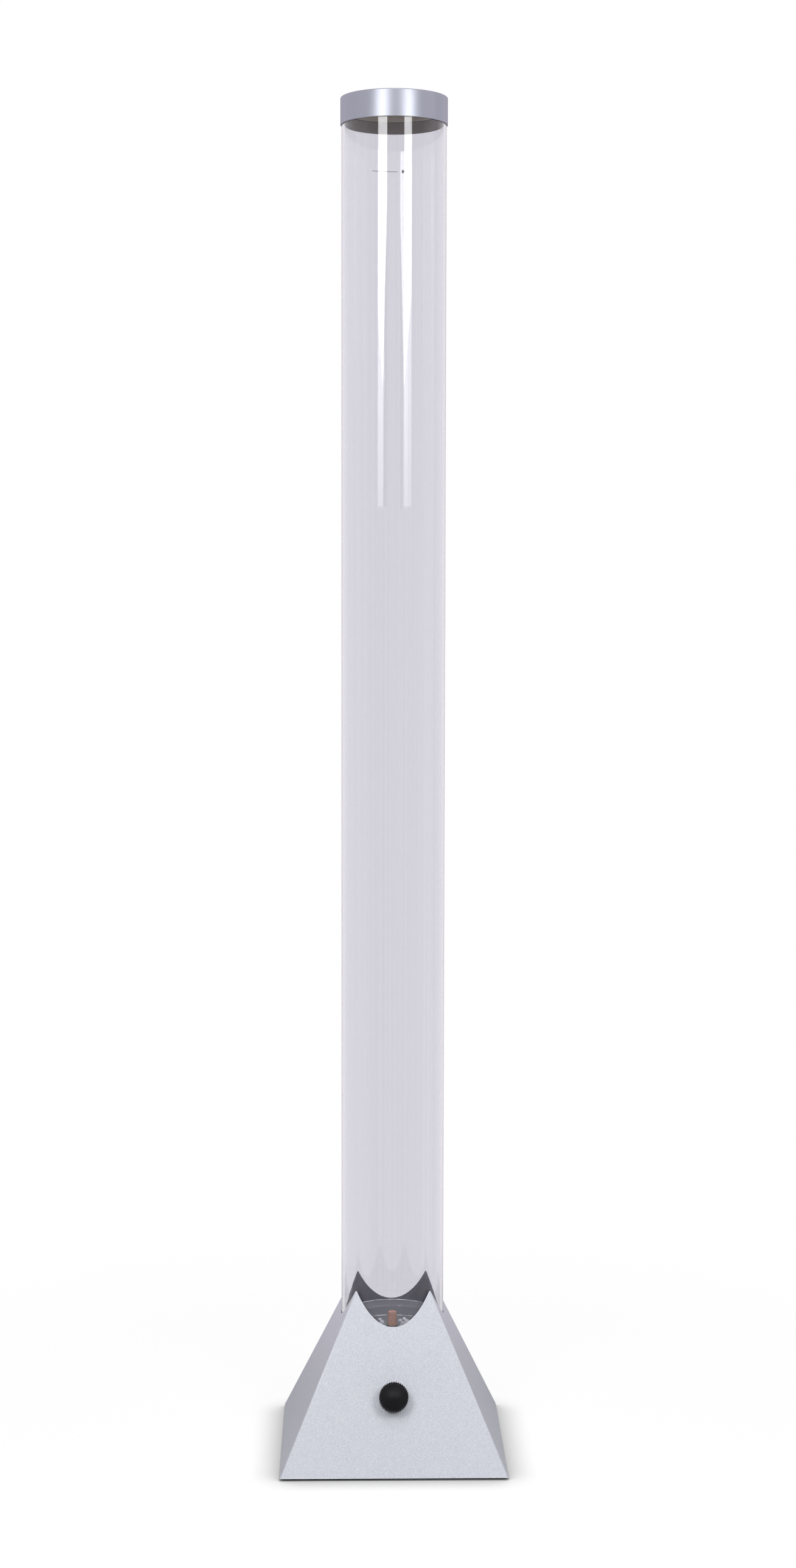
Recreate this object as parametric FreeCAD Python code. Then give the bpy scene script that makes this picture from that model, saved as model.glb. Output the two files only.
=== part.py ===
import FreeCAD, Part
import math
import os

from FreeCAD import Matrix, Vector

# Bubble tube floor lamp: a clear water tube stands in a silver pyramid base and wears a metal cap.
# Millimetres, +Z up, origin on the floor under the tube's axis, front (the knob's side) towards -Y.

# ---- driving dimensions -------------------------------------------------------------------------
TOTAL_HEIGHT = 1200.0        # floor to the cap's top
BASE_WIDTH = 200.0           # pyramid cover at its bottom edge
COVER_BOTTOM = 2.0           # the cover's edge hangs this far above the floor
APEX_HEIGHT = 223.0          # where the pyramid's faces would meet
COVER_WALL = 2.5
CORNER_RADIUS = 1.0          # along the pyramid's slanting edges
TUBE_RADIUS = 46.0
TUBE_WALL = 2.5
TUBE_BOTTOM = 88.5
TUBE_TOP = 1187.0
NOTCH_GAP = 0.4              # between the tube and the scalloped top of the cover
CAP_HEIGHT = 23.3
KNOB_HEIGHT_Z = 64.1         # knob's axis on the front face
POWER_SOCKET_X = 16.0        # power socket's axis on the rear face
POWER_SOCKET_Z = 22.0
FIT_GAP = 0.05               # shafts in bushes, screws in pilot holes, glued joints
WIDE_SIDES = 48              # flat sides of the wide round pieces inside the lamp
SMALL_SIDES = 24             # and of its small turned pieces

# ---- worked out from them -----------------------------------------------------------------------
SLOPE = BASE_WIDTH / 2 / (APEX_HEIGHT - COVER_BOTTOM)
TILT = math.atan(SLOPE)                      # how far each face leans back from upright
WALL_ACROSS = COVER_WALL / math.cos(TILT)    # the cover's wall measured level
TUBE_BORE = TUBE_RADIUS - TUBE_WALL
NOTCH_RADIUS = TUBE_RADIUS + NOTCH_GAP

# Base plate and what stands on it
PLATE_BOTTOM = 1.2
PLATE_TOP = 4.2
PLATE_HALF = 95.6
COVER_SCREW_AT = 83.5        # the four corner posts, out from the axis along X and Y
LEG_AT = 30.0                # the four legs of the tube socket
LEG_HALF = 5.0
FOOT_AT = 66.0
SCREW_RADIUS = 1.5
HEAD_RADIUS = 2.9
HEAD_SEAT = 3.0              # height of the seat under a screw head in the plate
SCREW_TIP = 15.0
PILOT_TOP = 16.0

# Tube socket
SOCKET_FLOOR_BOTTOM = 84.0
SOCKET_FLOOR_TOP = 87.0
SOCKET_FLOOR_BORE = 34.5
SOCKET_TOP = 104.0
SOCKET_OUTER = 49.0
SOCKET_BORE = TUBE_RADIUS + 0.3

# Clear plug cemented into the tube's foot
PLUG_BOTTOM = 100.0
PLUG_FLOOR = 104.0
PLUG_STEP = 114.3
PLUG_TOP = 120.2
PLUG_STEM_END = 89.0
PLUG_BOSS_TOP = 105.5
NOZZLE_TOP = 108.6
STONE_TOP = 121.4

# Ring of lights
LAMP_COUNT = 12
LAMP_CIRCLE = 28.0
LAMP_WIDTH = 5.0
LAMP_HEIGHT = 1.6
BOARD_THICKNESS = 1.6
BOARD_TOP = SOCKET_FLOOR_TOP + BOARD_THICKNESS
BOARD_SCREW_AT = 37.4
SMALL_SCREW = 1.2
SMALL_HEAD = 2.2
SMALL_HEAD_HEIGHT = 1.2

# Air pump: its outlet stands on the lamp's axis, under the plug's stem
PUMP_LEFT = -47.5
PUMP_RIGHT = 8.5
PUMP_HALF_Y = 21.0
PUMP_BOTTOM = 8.2
PUMP_RIM = 38.2
PUMP_WALL = 2.0
PUMP_LID_TOP = PUMP_RIM + PUMP_WALL
PUMP_MID_Z = 24.2            # height of the lever, magnet and bellows
PUMP_NIPPLE_TOP = 49.5
OUTLET_RADIUS = 3.4
LEVER_PIVOT_X = -15.5
LEVER_PIVOT_Y = 14.0
LEVER_HALF_THICK = 1.0
PIVOT_RADIUS = 1.5
CORE_BACK_X = -43.5
CORE_POLE_X = -22.7
CORE_Y = -8.0                # middle leg of the iron core
PUMP_SCREWS = [(PUMP_LEFT + 5.0, 16.0), (PUMP_RIGHT - 5.0, -16.0)]

# Air line, straight up from the pump
HOSE_RADIUS = 3.0
NIPPLE_RADIUS = 2.0
AIR_BORE = 1.0
VALVE_BOTTOM = 60.0
VALVE_TOP = 74.0
HOSE_GRIP = 8.0              # length of hose pushed over a nipple

# Knob and its rotary control, measured out from the front face
KNOB_RADIUS = 12.8
KNOB_TEETH = 38
KNOB_ROOT = 0.94             # bottom of the grooves, as a share of the radius at their tops
KNOB_FOOT = 1.5
CONTROL_BACK = -11.5
SHAFT_RADIUS = 3.0
BUSH_RADIUS = 3.45
BUSH_END = 5.5

# Flat two-core leads and their connectors on the circuit board, measured on the front face
LEAD_WIDTH = 2.8
LEAD_THICKNESS = 1.4
CIRCUIT_BACK = CONTROL_BACK - 1.6
CONNECTOR_BACK = CIRCUIT_BACK - 6.0
CONNECTOR_UP = -12.0
PUMP_LEAD_X = -22.3          # against the face of the winding's former
CONNECTORS_X = (PUMP_LEAD_X, 0.0, POWER_SOCKET_X)


def half_width(z):
    """Half the pyramid's outside width at a height."""
    return (APEX_HEIGHT - z) * SLOPE


def cylinder(radius, z0, z1, x=0.0, y=0.0):
    return Part.makeCylinder(radius, z1 - z0, Vector(x, y, z0))


def box(x0, x1, y0, y1, z0, z1):
    return Part.makeBox(x1 - x0, y1 - y0, z1 - z0, Vector(x0, y0, z0))


def ring(radius, z, sides):
    """Corner points of a level ring round the lamp's axis."""
    angles = [2 * math.pi * (i + 0.5) / sides for i in range(sides)]
    return [Vector(radius * math.cos(a), radius * math.sin(a), z) for a in angles]


def revolved(profile, x=0.0, y=0.0):
    """Solid of revolution about an upright axis, from (radius, height) points."""
    points = [Vector(r, 0, z) for r, z in profile]
    face = Part.Face(Part.makePolygon(points + points[:1]))
    solid = face.revolve(Vector(0, 0, 0), Vector(0, 0, 1), 360)
    solid.translate(Vector(x, y, 0))
    return solid


def stacked(rings):
    """Solid through rings of corner points that follow each other, all its faces flat."""
    count = len(rings[0])
    outlines = [rings[0][::-1], rings[-1]]
    for low, high in zip(rings, rings[1:]):
        for i in range(count):
            after = (i + 1) % count
            outlines.append([low[i], low[after], high[after], high[i]])
    faces = [Part.Face(Part.makePolygon(points + points[:1])) for points in outlines]
    solid = Part.makeSolid(Part.makeShell(faces))
    return solid if solid.Volume > 0 else solid.reversed()


def rod(radius, z0, z1, x=0.0, y=0.0, sides=12):
    """Round bar with a few flat sides, for small pieces and holes that repeat inside the lamp."""
    bar = stacked([ring(radius, z0, sides), ring(radius, z1, sides)])
    bar.translate(Vector(x, y, 0))
    return bar


def four(at):
    """The four places at equal distances along X and Y."""
    return [(x, y) for x in (-at, at) for y in (-at, at)]


def turned_copies(shape, count):
    """Copies of a shape spaced evenly round the lamp's axis."""
    copies = []
    for i in range(count):
        copy = shape.copy()
        copy.rotate(Vector(0, 0, 0), Vector(0, 0, 1), 360.0 * i / count)
        copies.append(copy)
    return copies


def joined(first, *others):
    """One solid made of several that overlap or meet."""
    return first.fuse(list(others)).removeSplitter()


def on_face(side, height, x=0.0):
    """Placement whose local Z points straight out of the front (-1) or rear (+1) face, local Y up it."""
    out = Vector(0, side * math.cos(TILT), math.sin(TILT))
    up = Vector(0, -side * math.sin(TILT), math.cos(TILT))
    across = up.cross(out)
    origin = Vector(x, side * half_width(height), height)
    return Matrix(
        across.x, up.x, out.x, origin.x,
        across.y, up.y, out.y, origin.y,
        across.z, up.z, out.z, origin.z,
        0, 0, 0, 1,
    )


KNOB_PLACE = on_face(-1, KNOB_HEIGHT_Z)
SOCKET_PLACE = on_face(1, POWER_SOCKET_Z, POWER_SOCKET_X)


def placed(shape, matrix):
    """Copy of a shape modelled at the origin, moved onto a face of the pyramid."""
    copy = shape.copy()
    copy.transformShape(matrix, True)
    return copy


# ---- casing -------------------------------------------------------------------------------------
def pyramid(inset, z0, z1):
    """Four-sided frustum that follows the pyramid's faces, set in by a level distance."""
    rings = []
    for z in (z0, z1):
        h = half_width(z) - inset
        rings.append([Vector(-h, -h, z), Vector(h, -h, z), Vector(h, h, z), Vector(-h, h, z)])
    return stacked(rings)


def pyramid_cover():
    """Moulded shell: scalloped top that hugs the tube, screw posts, ribs, knob and socket holes."""
    above_peaks = 158.0
    outside = pyramid(0.0, COVER_BOTTOM, above_peaks)
    slanting = [e for e in outside.Edges if abs(e.Vertexes[0].Z - e.Vertexes[1].Z) > 1.0]
    outside = outside.makeFillet(CORNER_RADIUS, slanting)
    shell = outside.cut(pyramid(WALL_ACROSS, COVER_BOTTOM - 1.0, above_peaks + 1.0))
    shell = shell.cut(cylinder(NOTCH_RADIUS, 60.0, above_peaks + 5.0))

    half = 4.5
    post_top = 44.0
    posts = [box(x - half, x + half, y - half, y + half, PLATE_TOP, post_top).common(outside)
             for x, y in four(COVER_SCREW_AT)]

    rib_at = 26.0
    rib_depth = 6.0
    rib_thick = 1.6
    rib_bottom = PLATE_TOP + 1.5
    rib_top = 96.0
    ribs = []
    for across in (-rib_at, rib_at):
        left = across - rib_thick / 2
        blade = box(left, left + rib_thick, -BASE_WIDTH / 2, -30.0, rib_bottom, rib_top)
        blade = blade.common(pyramid(WALL_ACROSS - 0.6, COVER_BOTTOM, above_peaks))
        blade = blade.cut(pyramid(WALL_ACROSS + rib_depth, COVER_BOTTOM - 1.0, above_peaks))
        ribs += turned_copies(blade, 4)
    shell = joined(shell, *posts, *ribs)

    for x, y in four(COVER_SCREW_AT):
        shell = shell.cut(rod(SCREW_RADIUS + FIT_GAP, PLATE_TOP - 1.0, PILOT_TOP, x, y))
    shell = shell.cut(placed(cylinder(BUSH_RADIUS + 0.15, -8.0, 8.0), KNOB_PLACE))
    return shell.cut(placed(cylinder(5.55, -8.0, 8.0), SOCKET_PLACE))


def screw(x, y, seat, tip, radius=SCREW_RADIUS, head=HEAD_RADIUS, head_height=1.6):
    """Flat-headed screw: seat is the height where its head bears, tip the height of its end."""
    outside = seat - math.copysign(head_height, tip - seat)
    return joined(rod(head, *sorted((outside, seat)), x, y), rod(radius, *sorted((seat, tip)), x, y))


def base_plate():
    """Floor of the lamp: sunk screw holes, air slots under the pump and stiffening bars."""
    plate = box(-PLATE_HALF, PLATE_HALF, -PLATE_HALF, PLATE_HALF, PLATE_BOTTOM, PLATE_TOP)
    upright = [e for e in plate.Edges if abs(e.Vertexes[0].Z - e.Vertexes[1].Z) > 1.0]
    plate = plate.makeChamfer(2.0, upright)
    bar = box(-62.0, 62.0, -87.6, -86.0, PLATE_TOP - 0.5, 8.0)
    plate = joined(plate, *turned_copies(bar, 4))
    for x, y in four(COVER_SCREW_AT) + four(LEG_AT):
        plate = plate.cut(rod(HEAD_RADIUS + 0.3, PLATE_BOTTOM - 1.0, HEAD_SEAT, x, y))
        plate = plate.cut(rod(SCREW_RADIUS + 0.15, PLATE_BOTTOM, PLATE_TOP + 1.0, x, y))
    slot_pitch = 7.0
    for side in (-1, 1):
        for step in (-2, -1, 0, 1, 2):
            y = step * slot_pitch
            left = side * 58.0 - 9.0
            plate = plate.cut(box(left, left + 18.0, y - 1.4, y + 1.4, PLATE_BOTTOM - 1.0, PLATE_TOP + 1.0))
    return plate


def rubber_feet():
    """Four round pads bonded under the plate."""
    return [rod(7.0, 0.0, PLATE_BOTTOM, x, y, SMALL_SIDES) for x, y in four(FOOT_AT)]


def cover_screws():
    return [screw(x, y, HEAD_SEAT, SCREW_TIP) for x, y in four(COVER_SCREW_AT)]


def socket_screws():
    return [screw(x, y, HEAD_SEAT, SCREW_TIP) for x, y in four(LEG_AT)]


# ---- tube and what holds it ---------------------------------------------------------------------
def tube_socket():
    """Moulded cup on four legs: the tube stands on its floor, round the board of the lights."""
    cup = rod(SOCKET_OUTER, SOCKET_FLOOR_BOTTOM, SOCKET_TOP, sides=WIDE_SIDES)
    cup = cup.cut(rod(SOCKET_BORE, SOCKET_FLOOR_TOP, SOCKET_TOP + 1.0, sides=WIDE_SIDES))
    cup = cup.cut(rod(SOCKET_FLOOR_BORE, SOCKET_FLOOR_BOTTOM - 1.0, SOCKET_TOP, sides=WIDE_SIDES))
    leg = box(LEG_AT - LEG_HALF, LEG_AT + LEG_HALF, LEG_AT - LEG_HALF, LEG_AT + LEG_HALF,
              PLATE_TOP, SOCKET_FLOOR_BOTTOM + 0.5)
    cup = joined(cup, *turned_copies(leg, 4))
    for x, y in four(LEG_AT):
        cup = cup.cut(rod(SCREW_RADIUS + FIT_GAP, PLATE_TOP - 1.0, PILOT_TOP, x, y))
    for x in (-BOARD_SCREW_AT, BOARD_SCREW_AT):
        cup = cup.cut(rod(SMALL_SCREW + FIT_GAP, SOCKET_FLOOR_BOTTOM - 1.0, SOCKET_FLOOR_TOP + 1.0, x))
    return cup


def tube_foot_gasket():
    """Rubber ring between the tube's cut end and the socket's floor."""
    outside = rod(TUBE_RADIUS, SOCKET_FLOOR_TOP, TUBE_BOTTOM, sides=WIDE_SIDES)
    return outside.cut(rod(TUBE_BORE, SOCKET_FLOOR_TOP - 1.0, TUBE_BOTTOM + 1.0, sides=WIDE_SIDES))


def water_tube():
    """Long clear tube, sawn and polished at both ends."""
    outside = cylinder(TUBE_RADIUS, TUBE_BOTTOM, TUBE_TOP)
    return outside.cut(cylinder(TUBE_BORE, TUBE_BOTTOM - 1.0, TUBE_TOP + 1.0))


def tube_plug():
    """Clear cup cemented into the tube: watertight floor, stepped rim, air stem under its middle."""
    floor_bore = 40.5
    rim_bore = 42.1
    plug = rod(TUBE_BORE - FIT_GAP, PLUG_BOTTOM, PLUG_TOP, sides=WIDE_SIDES)
    plug = plug.cut(rod(floor_bore, PLUG_FLOOR, PLUG_TOP, sides=WIDE_SIDES))
    plug = plug.cut(rod(rim_bore, PLUG_STEP, PLUG_TOP + 1.0, sides=WIDE_SIDES))
    plug = joined(plug, rod(NIPPLE_RADIUS, PLUG_STEM_END, PLUG_FLOOR - 1.0),
                  rod(6.0, PLUG_FLOOR - 1.0, PLUG_BOSS_TOP, sides=SMALL_SIDES))
    return plug.cut(rod(AIR_BORE, PLUG_STEM_END - 1.0, PLUG_BOSS_TOP + 1.0))


def stone_nozzle():
    """Dark collar on the plug's boss, with a spigot that the air stone is pushed over."""
    spigot_top = NOZZLE_TOP + 5.0
    collar = joined(rod(4.9, PLUG_BOSS_TOP, NOZZLE_TOP, sides=SMALL_SIDES),
                    rod(1.8, NOZZLE_TOP, spigot_top, sides=SMALL_SIDES))
    return collar.cut(rod(0.8, PLUG_BOSS_TOP - 1.0, spigot_top + 1.0))


def air_stone():
    """Tapered stick of sintered grit with a blind hole in its foot."""
    stick = stacked([ring(4.45, NOZZLE_TOP, SMALL_SIDES), ring(3.9, STONE_TOP - 0.6, SMALL_SIDES),
                     ring(3.4, STONE_TOP, SMALL_SIDES)])
    return stick.cut(rod(1.8 + FIT_GAP, NOZZLE_TOP - 1.0, NOZZLE_TOP + 5.4, sides=SMALL_SIDES))


# ---- lights -------------------------------------------------------------------------------------
def led_board():
    """Round circuit board with an open middle for the air line."""
    board = rod(42.0, SOCKET_FLOOR_TOP, BOARD_TOP, sides=SMALL_SIDES)
    board = board.cut(rod(10.0, SOCKET_FLOOR_TOP - 1.0, BOARD_TOP + 1.0))
    for x in (-BOARD_SCREW_AT, BOARD_SCREW_AT):
        board = board.cut(rod(SMALL_SCREW + 0.15, SOCKET_FLOOR_TOP - 1.0, BOARD_TOP + 1.0, x))
    return board


def led_lamps():
    """Square surface-mounted lights on a circle, shining up through the plug."""
    half = LAMP_WIDTH / 2
    lamp = box(LAMP_CIRCLE - half, LAMP_CIRCLE + half, -half, half, BOARD_TOP, BOARD_TOP + LAMP_HEIGHT)
    lamp.rotate(Vector(0, 0, 0), Vector(0, 0, 1), 180.0 / LAMP_COUNT)
    return turned_copies(lamp, LAMP_COUNT)


def led_board_screws():
    return [screw(x, 0.0, BOARD_TOP, SOCKET_FLOOR_BOTTOM + 0.5, SMALL_SCREW, SMALL_HEAD, SMALL_HEAD_HEIGHT)
            for x in (-BOARD_SCREW_AT, BOARD_SCREW_AT)]


# ---- air pump -----------------------------------------------------------------------------------
def pump_case():
    """Open box with a pivot boss in its floor, a cradle for the core, screw posts and a lead slot."""
    floor_top = PUMP_BOTTOM + PUMP_WALL
    case = box(PUMP_LEFT, PUMP_RIGHT, -PUMP_HALF_Y, PUMP_HALF_Y, PUMP_BOTTOM, PUMP_RIM)
    case = case.cut(box(PUMP_LEFT + PUMP_WALL, PUMP_RIGHT - PUMP_WALL, -PUMP_HALF_Y + PUMP_WALL,
                        PUMP_HALF_Y - PUMP_WALL, floor_top, PUMP_RIM + 1.0))
    inside = [rod(3.5, floor_top - 0.5, PUMP_MID_Z - 6.2, LEVER_PIVOT_X, LEVER_PIVOT_Y)]
    half = 3.5
    for x, y in PUMP_SCREWS:
        inside.append(box(x - half, x + half, y - half, y + half, floor_top - 0.5, PUMP_RIM))
    for near in (CORE_Y - 10.6, CORE_Y + 7.6):
        inside.append(box(CORE_BACK_X - 3.0, CORE_BACK_X + 5.0, near, near + 3.0, floor_top - 0.5,
                          PUMP_MID_Z - 5.0))
    case = joined(case, *inside)
    case = case.cut(cylinder(PIVOT_RADIUS + FIT_GAP / 2, floor_top + 1.0, PUMP_RIM, LEVER_PIVOT_X,
                             LEVER_PIVOT_Y))
    for x, y in PUMP_SCREWS:
        case = case.cut(rod(SMALL_SCREW + FIT_GAP, PUMP_RIM - 12.0, PUMP_RIM + 1.0, x, y))
    slot_half = LEAD_WIDTH / 2 + 0.4
    lead_z = coil_underside() - LEAD_THICKNESS / 2
    return case.cut(box(PUMP_LEAD_X - slot_half, PUMP_LEAD_X + slot_half, -PUMP_HALF_Y - 1.0,
                        -PUMP_HALF_Y + PUMP_WALL + 0.5, lead_z - 1.0, lead_z + 1.0))


def pump_lid():
    """Flat lid with a boss that steadies the pivot pin and a hole for the outlet."""
    lid = box(PUMP_LEFT, PUMP_RIGHT, -PUMP_HALF_Y, PUMP_HALF_Y, PUMP_RIM, PUMP_LID_TOP)
    lid = joined(lid, rod(3.5, PUMP_MID_Z + 6.2, PUMP_RIM + 0.5, LEVER_PIVOT_X, LEVER_PIVOT_Y))
    lid = lid.cut(cylinder(PIVOT_RADIUS + FIT_GAP / 2, PUMP_MID_Z, PUMP_RIM + 0.6, LEVER_PIVOT_X,
                           LEVER_PIVOT_Y))
    lid = lid.cut(rod(OUTLET_RADIUS + 0.1, PUMP_RIM - 1.0, PUMP_LID_TOP + 1.0))
    for x, y in PUMP_SCREWS:
        lid = lid.cut(rod(SMALL_SCREW + 0.15, PUMP_RIM - 1.0, PUMP_LID_TOP + 1.0, x, y))
    return lid


def pump_lid_screws():
    return [screw(x, y, PUMP_LID_TOP, PUMP_RIM - 9.0, SMALL_SCREW, SMALL_HEAD, SMALL_HEAD_HEIGHT)
            for x, y in PUMP_SCREWS]


def pump_mounts():
    """Square rubber blocks that keep the pump's hum out of the plate."""
    middle = (PUMP_LEFT + PUMP_RIGHT) / 2
    return [box(x - 4.0, x + 4.0, y - 4.0, y + 4.0, PLATE_TOP, PUMP_BOTTOM)
            for x in (middle - 20.0, middle + 20.0) for y in (-13.0, 13.0)]


CORE_HALF_Z = 5.0
CORE_LEG_HALF = 3.0
CORE_WINDOW = 4.6
CORE_SIDE_LEG = 3.0
COIL_HALF_Y = 7.0
COIL_HALF_Z = 9.0


def coil_underside():
    """Height of the winding's lowest face, where the lead runs in."""
    return PUMP_MID_Z - COIL_HALF_Z


def pump_core():
    """E-shaped stack of iron sheets; its three poles face the magnet."""
    z0, z1 = PUMP_MID_Z - CORE_HALF_Z, PUMP_MID_Z + CORE_HALF_Z
    reach = CORE_LEG_HALF + CORE_WINDOW + CORE_SIDE_LEG
    core = box(CORE_BACK_X, CORE_POLE_X, CORE_Y - reach, CORE_Y + reach, z0, z1)
    for side in (-1, 1):
        near, far = sorted((CORE_Y + side * CORE_LEG_HALF, CORE_Y + side * (CORE_LEG_HALF + CORE_WINDOW)))
        core = core.cut(box(CORE_BACK_X + 5.0, CORE_POLE_X + 1.0, near, far, z0 - 1.0, z1 + 1.0))
    return core


def pump_bobbin():
    """Plastic former round the core's middle leg."""
    gap, wall, flange = 0.1, 0.8, 1.0
    inner_y, inner_z = CORE_LEG_HALF + gap, CORE_HALF_Z + gap
    x0, x1 = CORE_BACK_X + 5.2, CORE_POLE_X - 1.0
    spool = box(x0, x1, CORE_Y - inner_y - wall, CORE_Y + inner_y + wall,
                PUMP_MID_Z - inner_z - wall, PUMP_MID_Z + inner_z + wall)
    cheeks = [box(x, x + flange, CORE_Y - 7.4, CORE_Y + 7.4, PUMP_MID_Z - 9.4, PUMP_MID_Z + 9.4)
              for x in (x0, x1 - flange)]
    return joined(spool, *cheeks).cut(box(x0 - 1.0, x1 + 1.0, CORE_Y - inner_y, CORE_Y + inner_y,
                                          PUMP_MID_Z - inner_z, PUMP_MID_Z + inner_z))


def pump_coil():
    """Copper winding on the bobbin."""
    x0, x1 = CORE_BACK_X + 6.2, CORE_POLE_X - 2.0
    coil = box(x0, x1, CORE_Y - COIL_HALF_Y, CORE_Y + COIL_HALF_Y,
               coil_underside(), PUMP_MID_Z + COIL_HALF_Z)
    along = [e for e in coil.Edges if abs(e.Vertexes[0].X - e.Vertexes[1].X) > 1.0]
    coil = coil.makeChamfer(2.0, along)
    return coil.cut(box(x0 - 1.0, x1 + 1.0, CORE_Y - 3.9, CORE_Y + 3.9, PUMP_MID_Z - 5.9, PUMP_MID_Z + 5.9))


def pump_pivot_pin():
    return cylinder(PIVOT_RADIUS, PUMP_BOTTOM + PUMP_WALL + 1.2, PUMP_RIM - 0.2,
                    LEVER_PIVOT_X, LEVER_PIVOT_Y)


def pump_lever():
    """Arm that rocks on the pivot pin: magnet at its free end, bellows half way along."""
    face_low, face_high = LEVER_PIVOT_X - LEVER_HALF_THICK, LEVER_PIVOT_X + LEVER_HALF_THICK
    arm = box(face_low, face_high, CORE_Y - 6.5, LEVER_PIVOT_Y, PUMP_MID_Z - 4.0, PUMP_MID_Z + 4.0)
    arm = joined(arm, rod(3.5, PUMP_MID_Z - 6.0, PUMP_MID_Z + 6.0, LEVER_PIVOT_X, LEVER_PIVOT_Y))
    arm = arm.cut(cylinder(PIVOT_RADIUS + FIT_GAP, PUMP_MID_Z - 7.0, PUMP_MID_Z + 7.0, LEVER_PIVOT_X,
                           LEVER_PIVOT_Y))
    hole = Part.makeCylinder(1.1 + FIT_GAP, 6.0, Vector(face_low - 2.0, 0, PUMP_MID_Z), Vector(1, 0, 0))
    return arm.cut(hole)


def pump_magnet():
    """Block magnet bonded to the lever, facing the poles."""
    face = LEVER_PIVOT_X - LEVER_HALF_THICK
    return box(face - 4.0, face, CORE_Y - 5.0, CORE_Y + 5.0, PUMP_MID_Z - 5.0, PUMP_MID_Z + 5.0)


def on_bellows_axis(shape):
    """Piece built round the lamp's axis from height 0, laid along +X from the lever's near face."""
    shape.rotate(Vector(0, 0, 0), Vector(0, 1, 0), 90)
    shape.translate(Vector(LEVER_PIVOT_X + LEVER_HALF_THICK, 0, PUMP_MID_Z))
    return shape


def bellows_screw():
    """Small screw through the lever into the bellows' hub."""
    through = 2 * LEVER_HALF_THICK
    return on_bellows_axis(joined(rod(2.2, -through - 1.4, -through), rod(1.1, -through, 2.0)))


def pump_bellows():
    """Rubber cup between the lever and the valve head."""
    sides = 16
    length = 8.0
    outside = stacked([ring(3.4, 0.0, sides), ring(3.4, 2.4, sides), ring(8.8, 4.4, sides),
                       ring(8.8, length, sides)])
    hollow = stacked([ring(2.4, 3.4, sides), ring(7.4, 5.4, sides), ring(7.4, length + 1.0, sides)])
    return on_bellows_axis(outside.cut(hollow).cut(rod(1.1 + FIT_GAP, -1.0, 2.2)))


def pump_valve_head():
    """Valve block behind the bellows, with the outlet that stands up through the lid."""
    x0 = LEVER_PIVOT_X + LEVER_HALF_THICK + 8.0
    block_top = PUMP_MID_Z + 10.0
    block = box(x0, PUMP_RIGHT - PUMP_WALL, -10.0, 10.0, PUMP_MID_Z - 10.0, block_top)
    block = joined(block, rod(OUTLET_RADIUS, block_top - 1.0, PUMP_LID_TOP),
                   rod(NIPPLE_RADIUS, PUMP_LID_TOP - 1.0, PUMP_NIPPLE_TOP))
    return block.cut(rod(AIR_BORE, PUMP_MID_Z, PUMP_NIPPLE_TOP + 1.0))


# ---- air line -----------------------------------------------------------------------------------
def hose(z0, z1):
    """Straight silicone hose on the lamp's axis, stretched over the nipples at its ends."""
    return rod(HOSE_RADIUS, z0, z1).cut(rod(NIPPLE_RADIUS + 0.1, z0 - 1.0, z1 + 1.0))


def air_hose_lower():
    return hose(PUMP_LID_TOP + 0.8, VALVE_BOTTOM)


def air_hose_upper():
    return hose(VALVE_TOP, PLUG_STEM_END + HOSE_GRIP + 0.5)


def check_valve():
    """Non-return valve in the air line, so that water can't run back into the pump."""
    low, high = VALVE_BOTTOM - HOSE_GRIP, VALVE_TOP + HOSE_GRIP
    valve = joined(rod(NIPPLE_RADIUS, low, high), rod(6.2, VALVE_BOTTOM, VALVE_TOP))
    return valve.cut(rod(AIR_BORE, low - 1.0, high + 1.0))


# ---- control and knob ---------------------------------------------------------------------------
def fluted_ring(radius, z):
    """Outline of flat-topped ribs with vee grooves between them, in proportion to the radius."""
    points = []
    for i in range(KNOB_TEETH):
        for share, reach in ((0.0, KNOB_ROOT), (0.3, 1.0), (0.7, 1.0)):
            angle = 2 * math.pi * (i + share) / KNOB_TEETH
            points.append(Vector(radius * reach * math.cos(angle), radius * reach * math.sin(angle), z))
    return points


def knob_shape():
    """Fluted skirt and shoulder, smooth domed face, room for the nut and a D-shaped bore."""
    shoulder_z, face_z = 14.8, 18.2
    face_radius, dome_sphere = 8.3, 12.7
    flutes = stacked([fluted_ring(KNOB_RADIUS, KNOB_FOOT), fluted_ring(KNOB_RADIUS, shoulder_z),
                      fluted_ring(face_radius / KNOB_ROOT + 0.1, face_z)])
    centre_z = face_z - math.sqrt(dome_sphere ** 2 - face_radius ** 2)
    dome = [ring(face_radius, shoulder_z + 1.0, KNOB_TEETH)]
    for r in (face_radius, 6.2, 3.8, 1.4):
        dome.append(ring(r, centre_z + math.sqrt(dome_sphere ** 2 - r ** 2), KNOB_TEETH))
    body = joined(flutes, stacked(dome))
    bore = cylinder(SHAFT_RADIUS + FIT_GAP, KNOB_FOOT, 15.2)
    flat = box(-5.0, 5.0, SHAFT_RADIUS - 1.5 + FIT_GAP, 5.0, BUSH_END, 16.0)
    nut_room = cylinder(6.8, KNOB_FOOT - 1.0, BUSH_END + 1.5)
    return body.cut(bore.cut(flat)).cut(nut_room)


def control_knob():
    return placed(knob_shape(), KNOB_PLACE)


def knob_shaft():
    """Metal spindle with a flat at its outer end."""
    shaft = cylinder(SHAFT_RADIUS, CONTROL_BACK + 2.0, 14.8)
    flat = box(-5.0, 5.0, SHAFT_RADIUS - 1.5, 5.0, BUSH_END + 1.0, 16.0)
    return placed(shaft.cut(flat), KNOB_PLACE)


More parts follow.
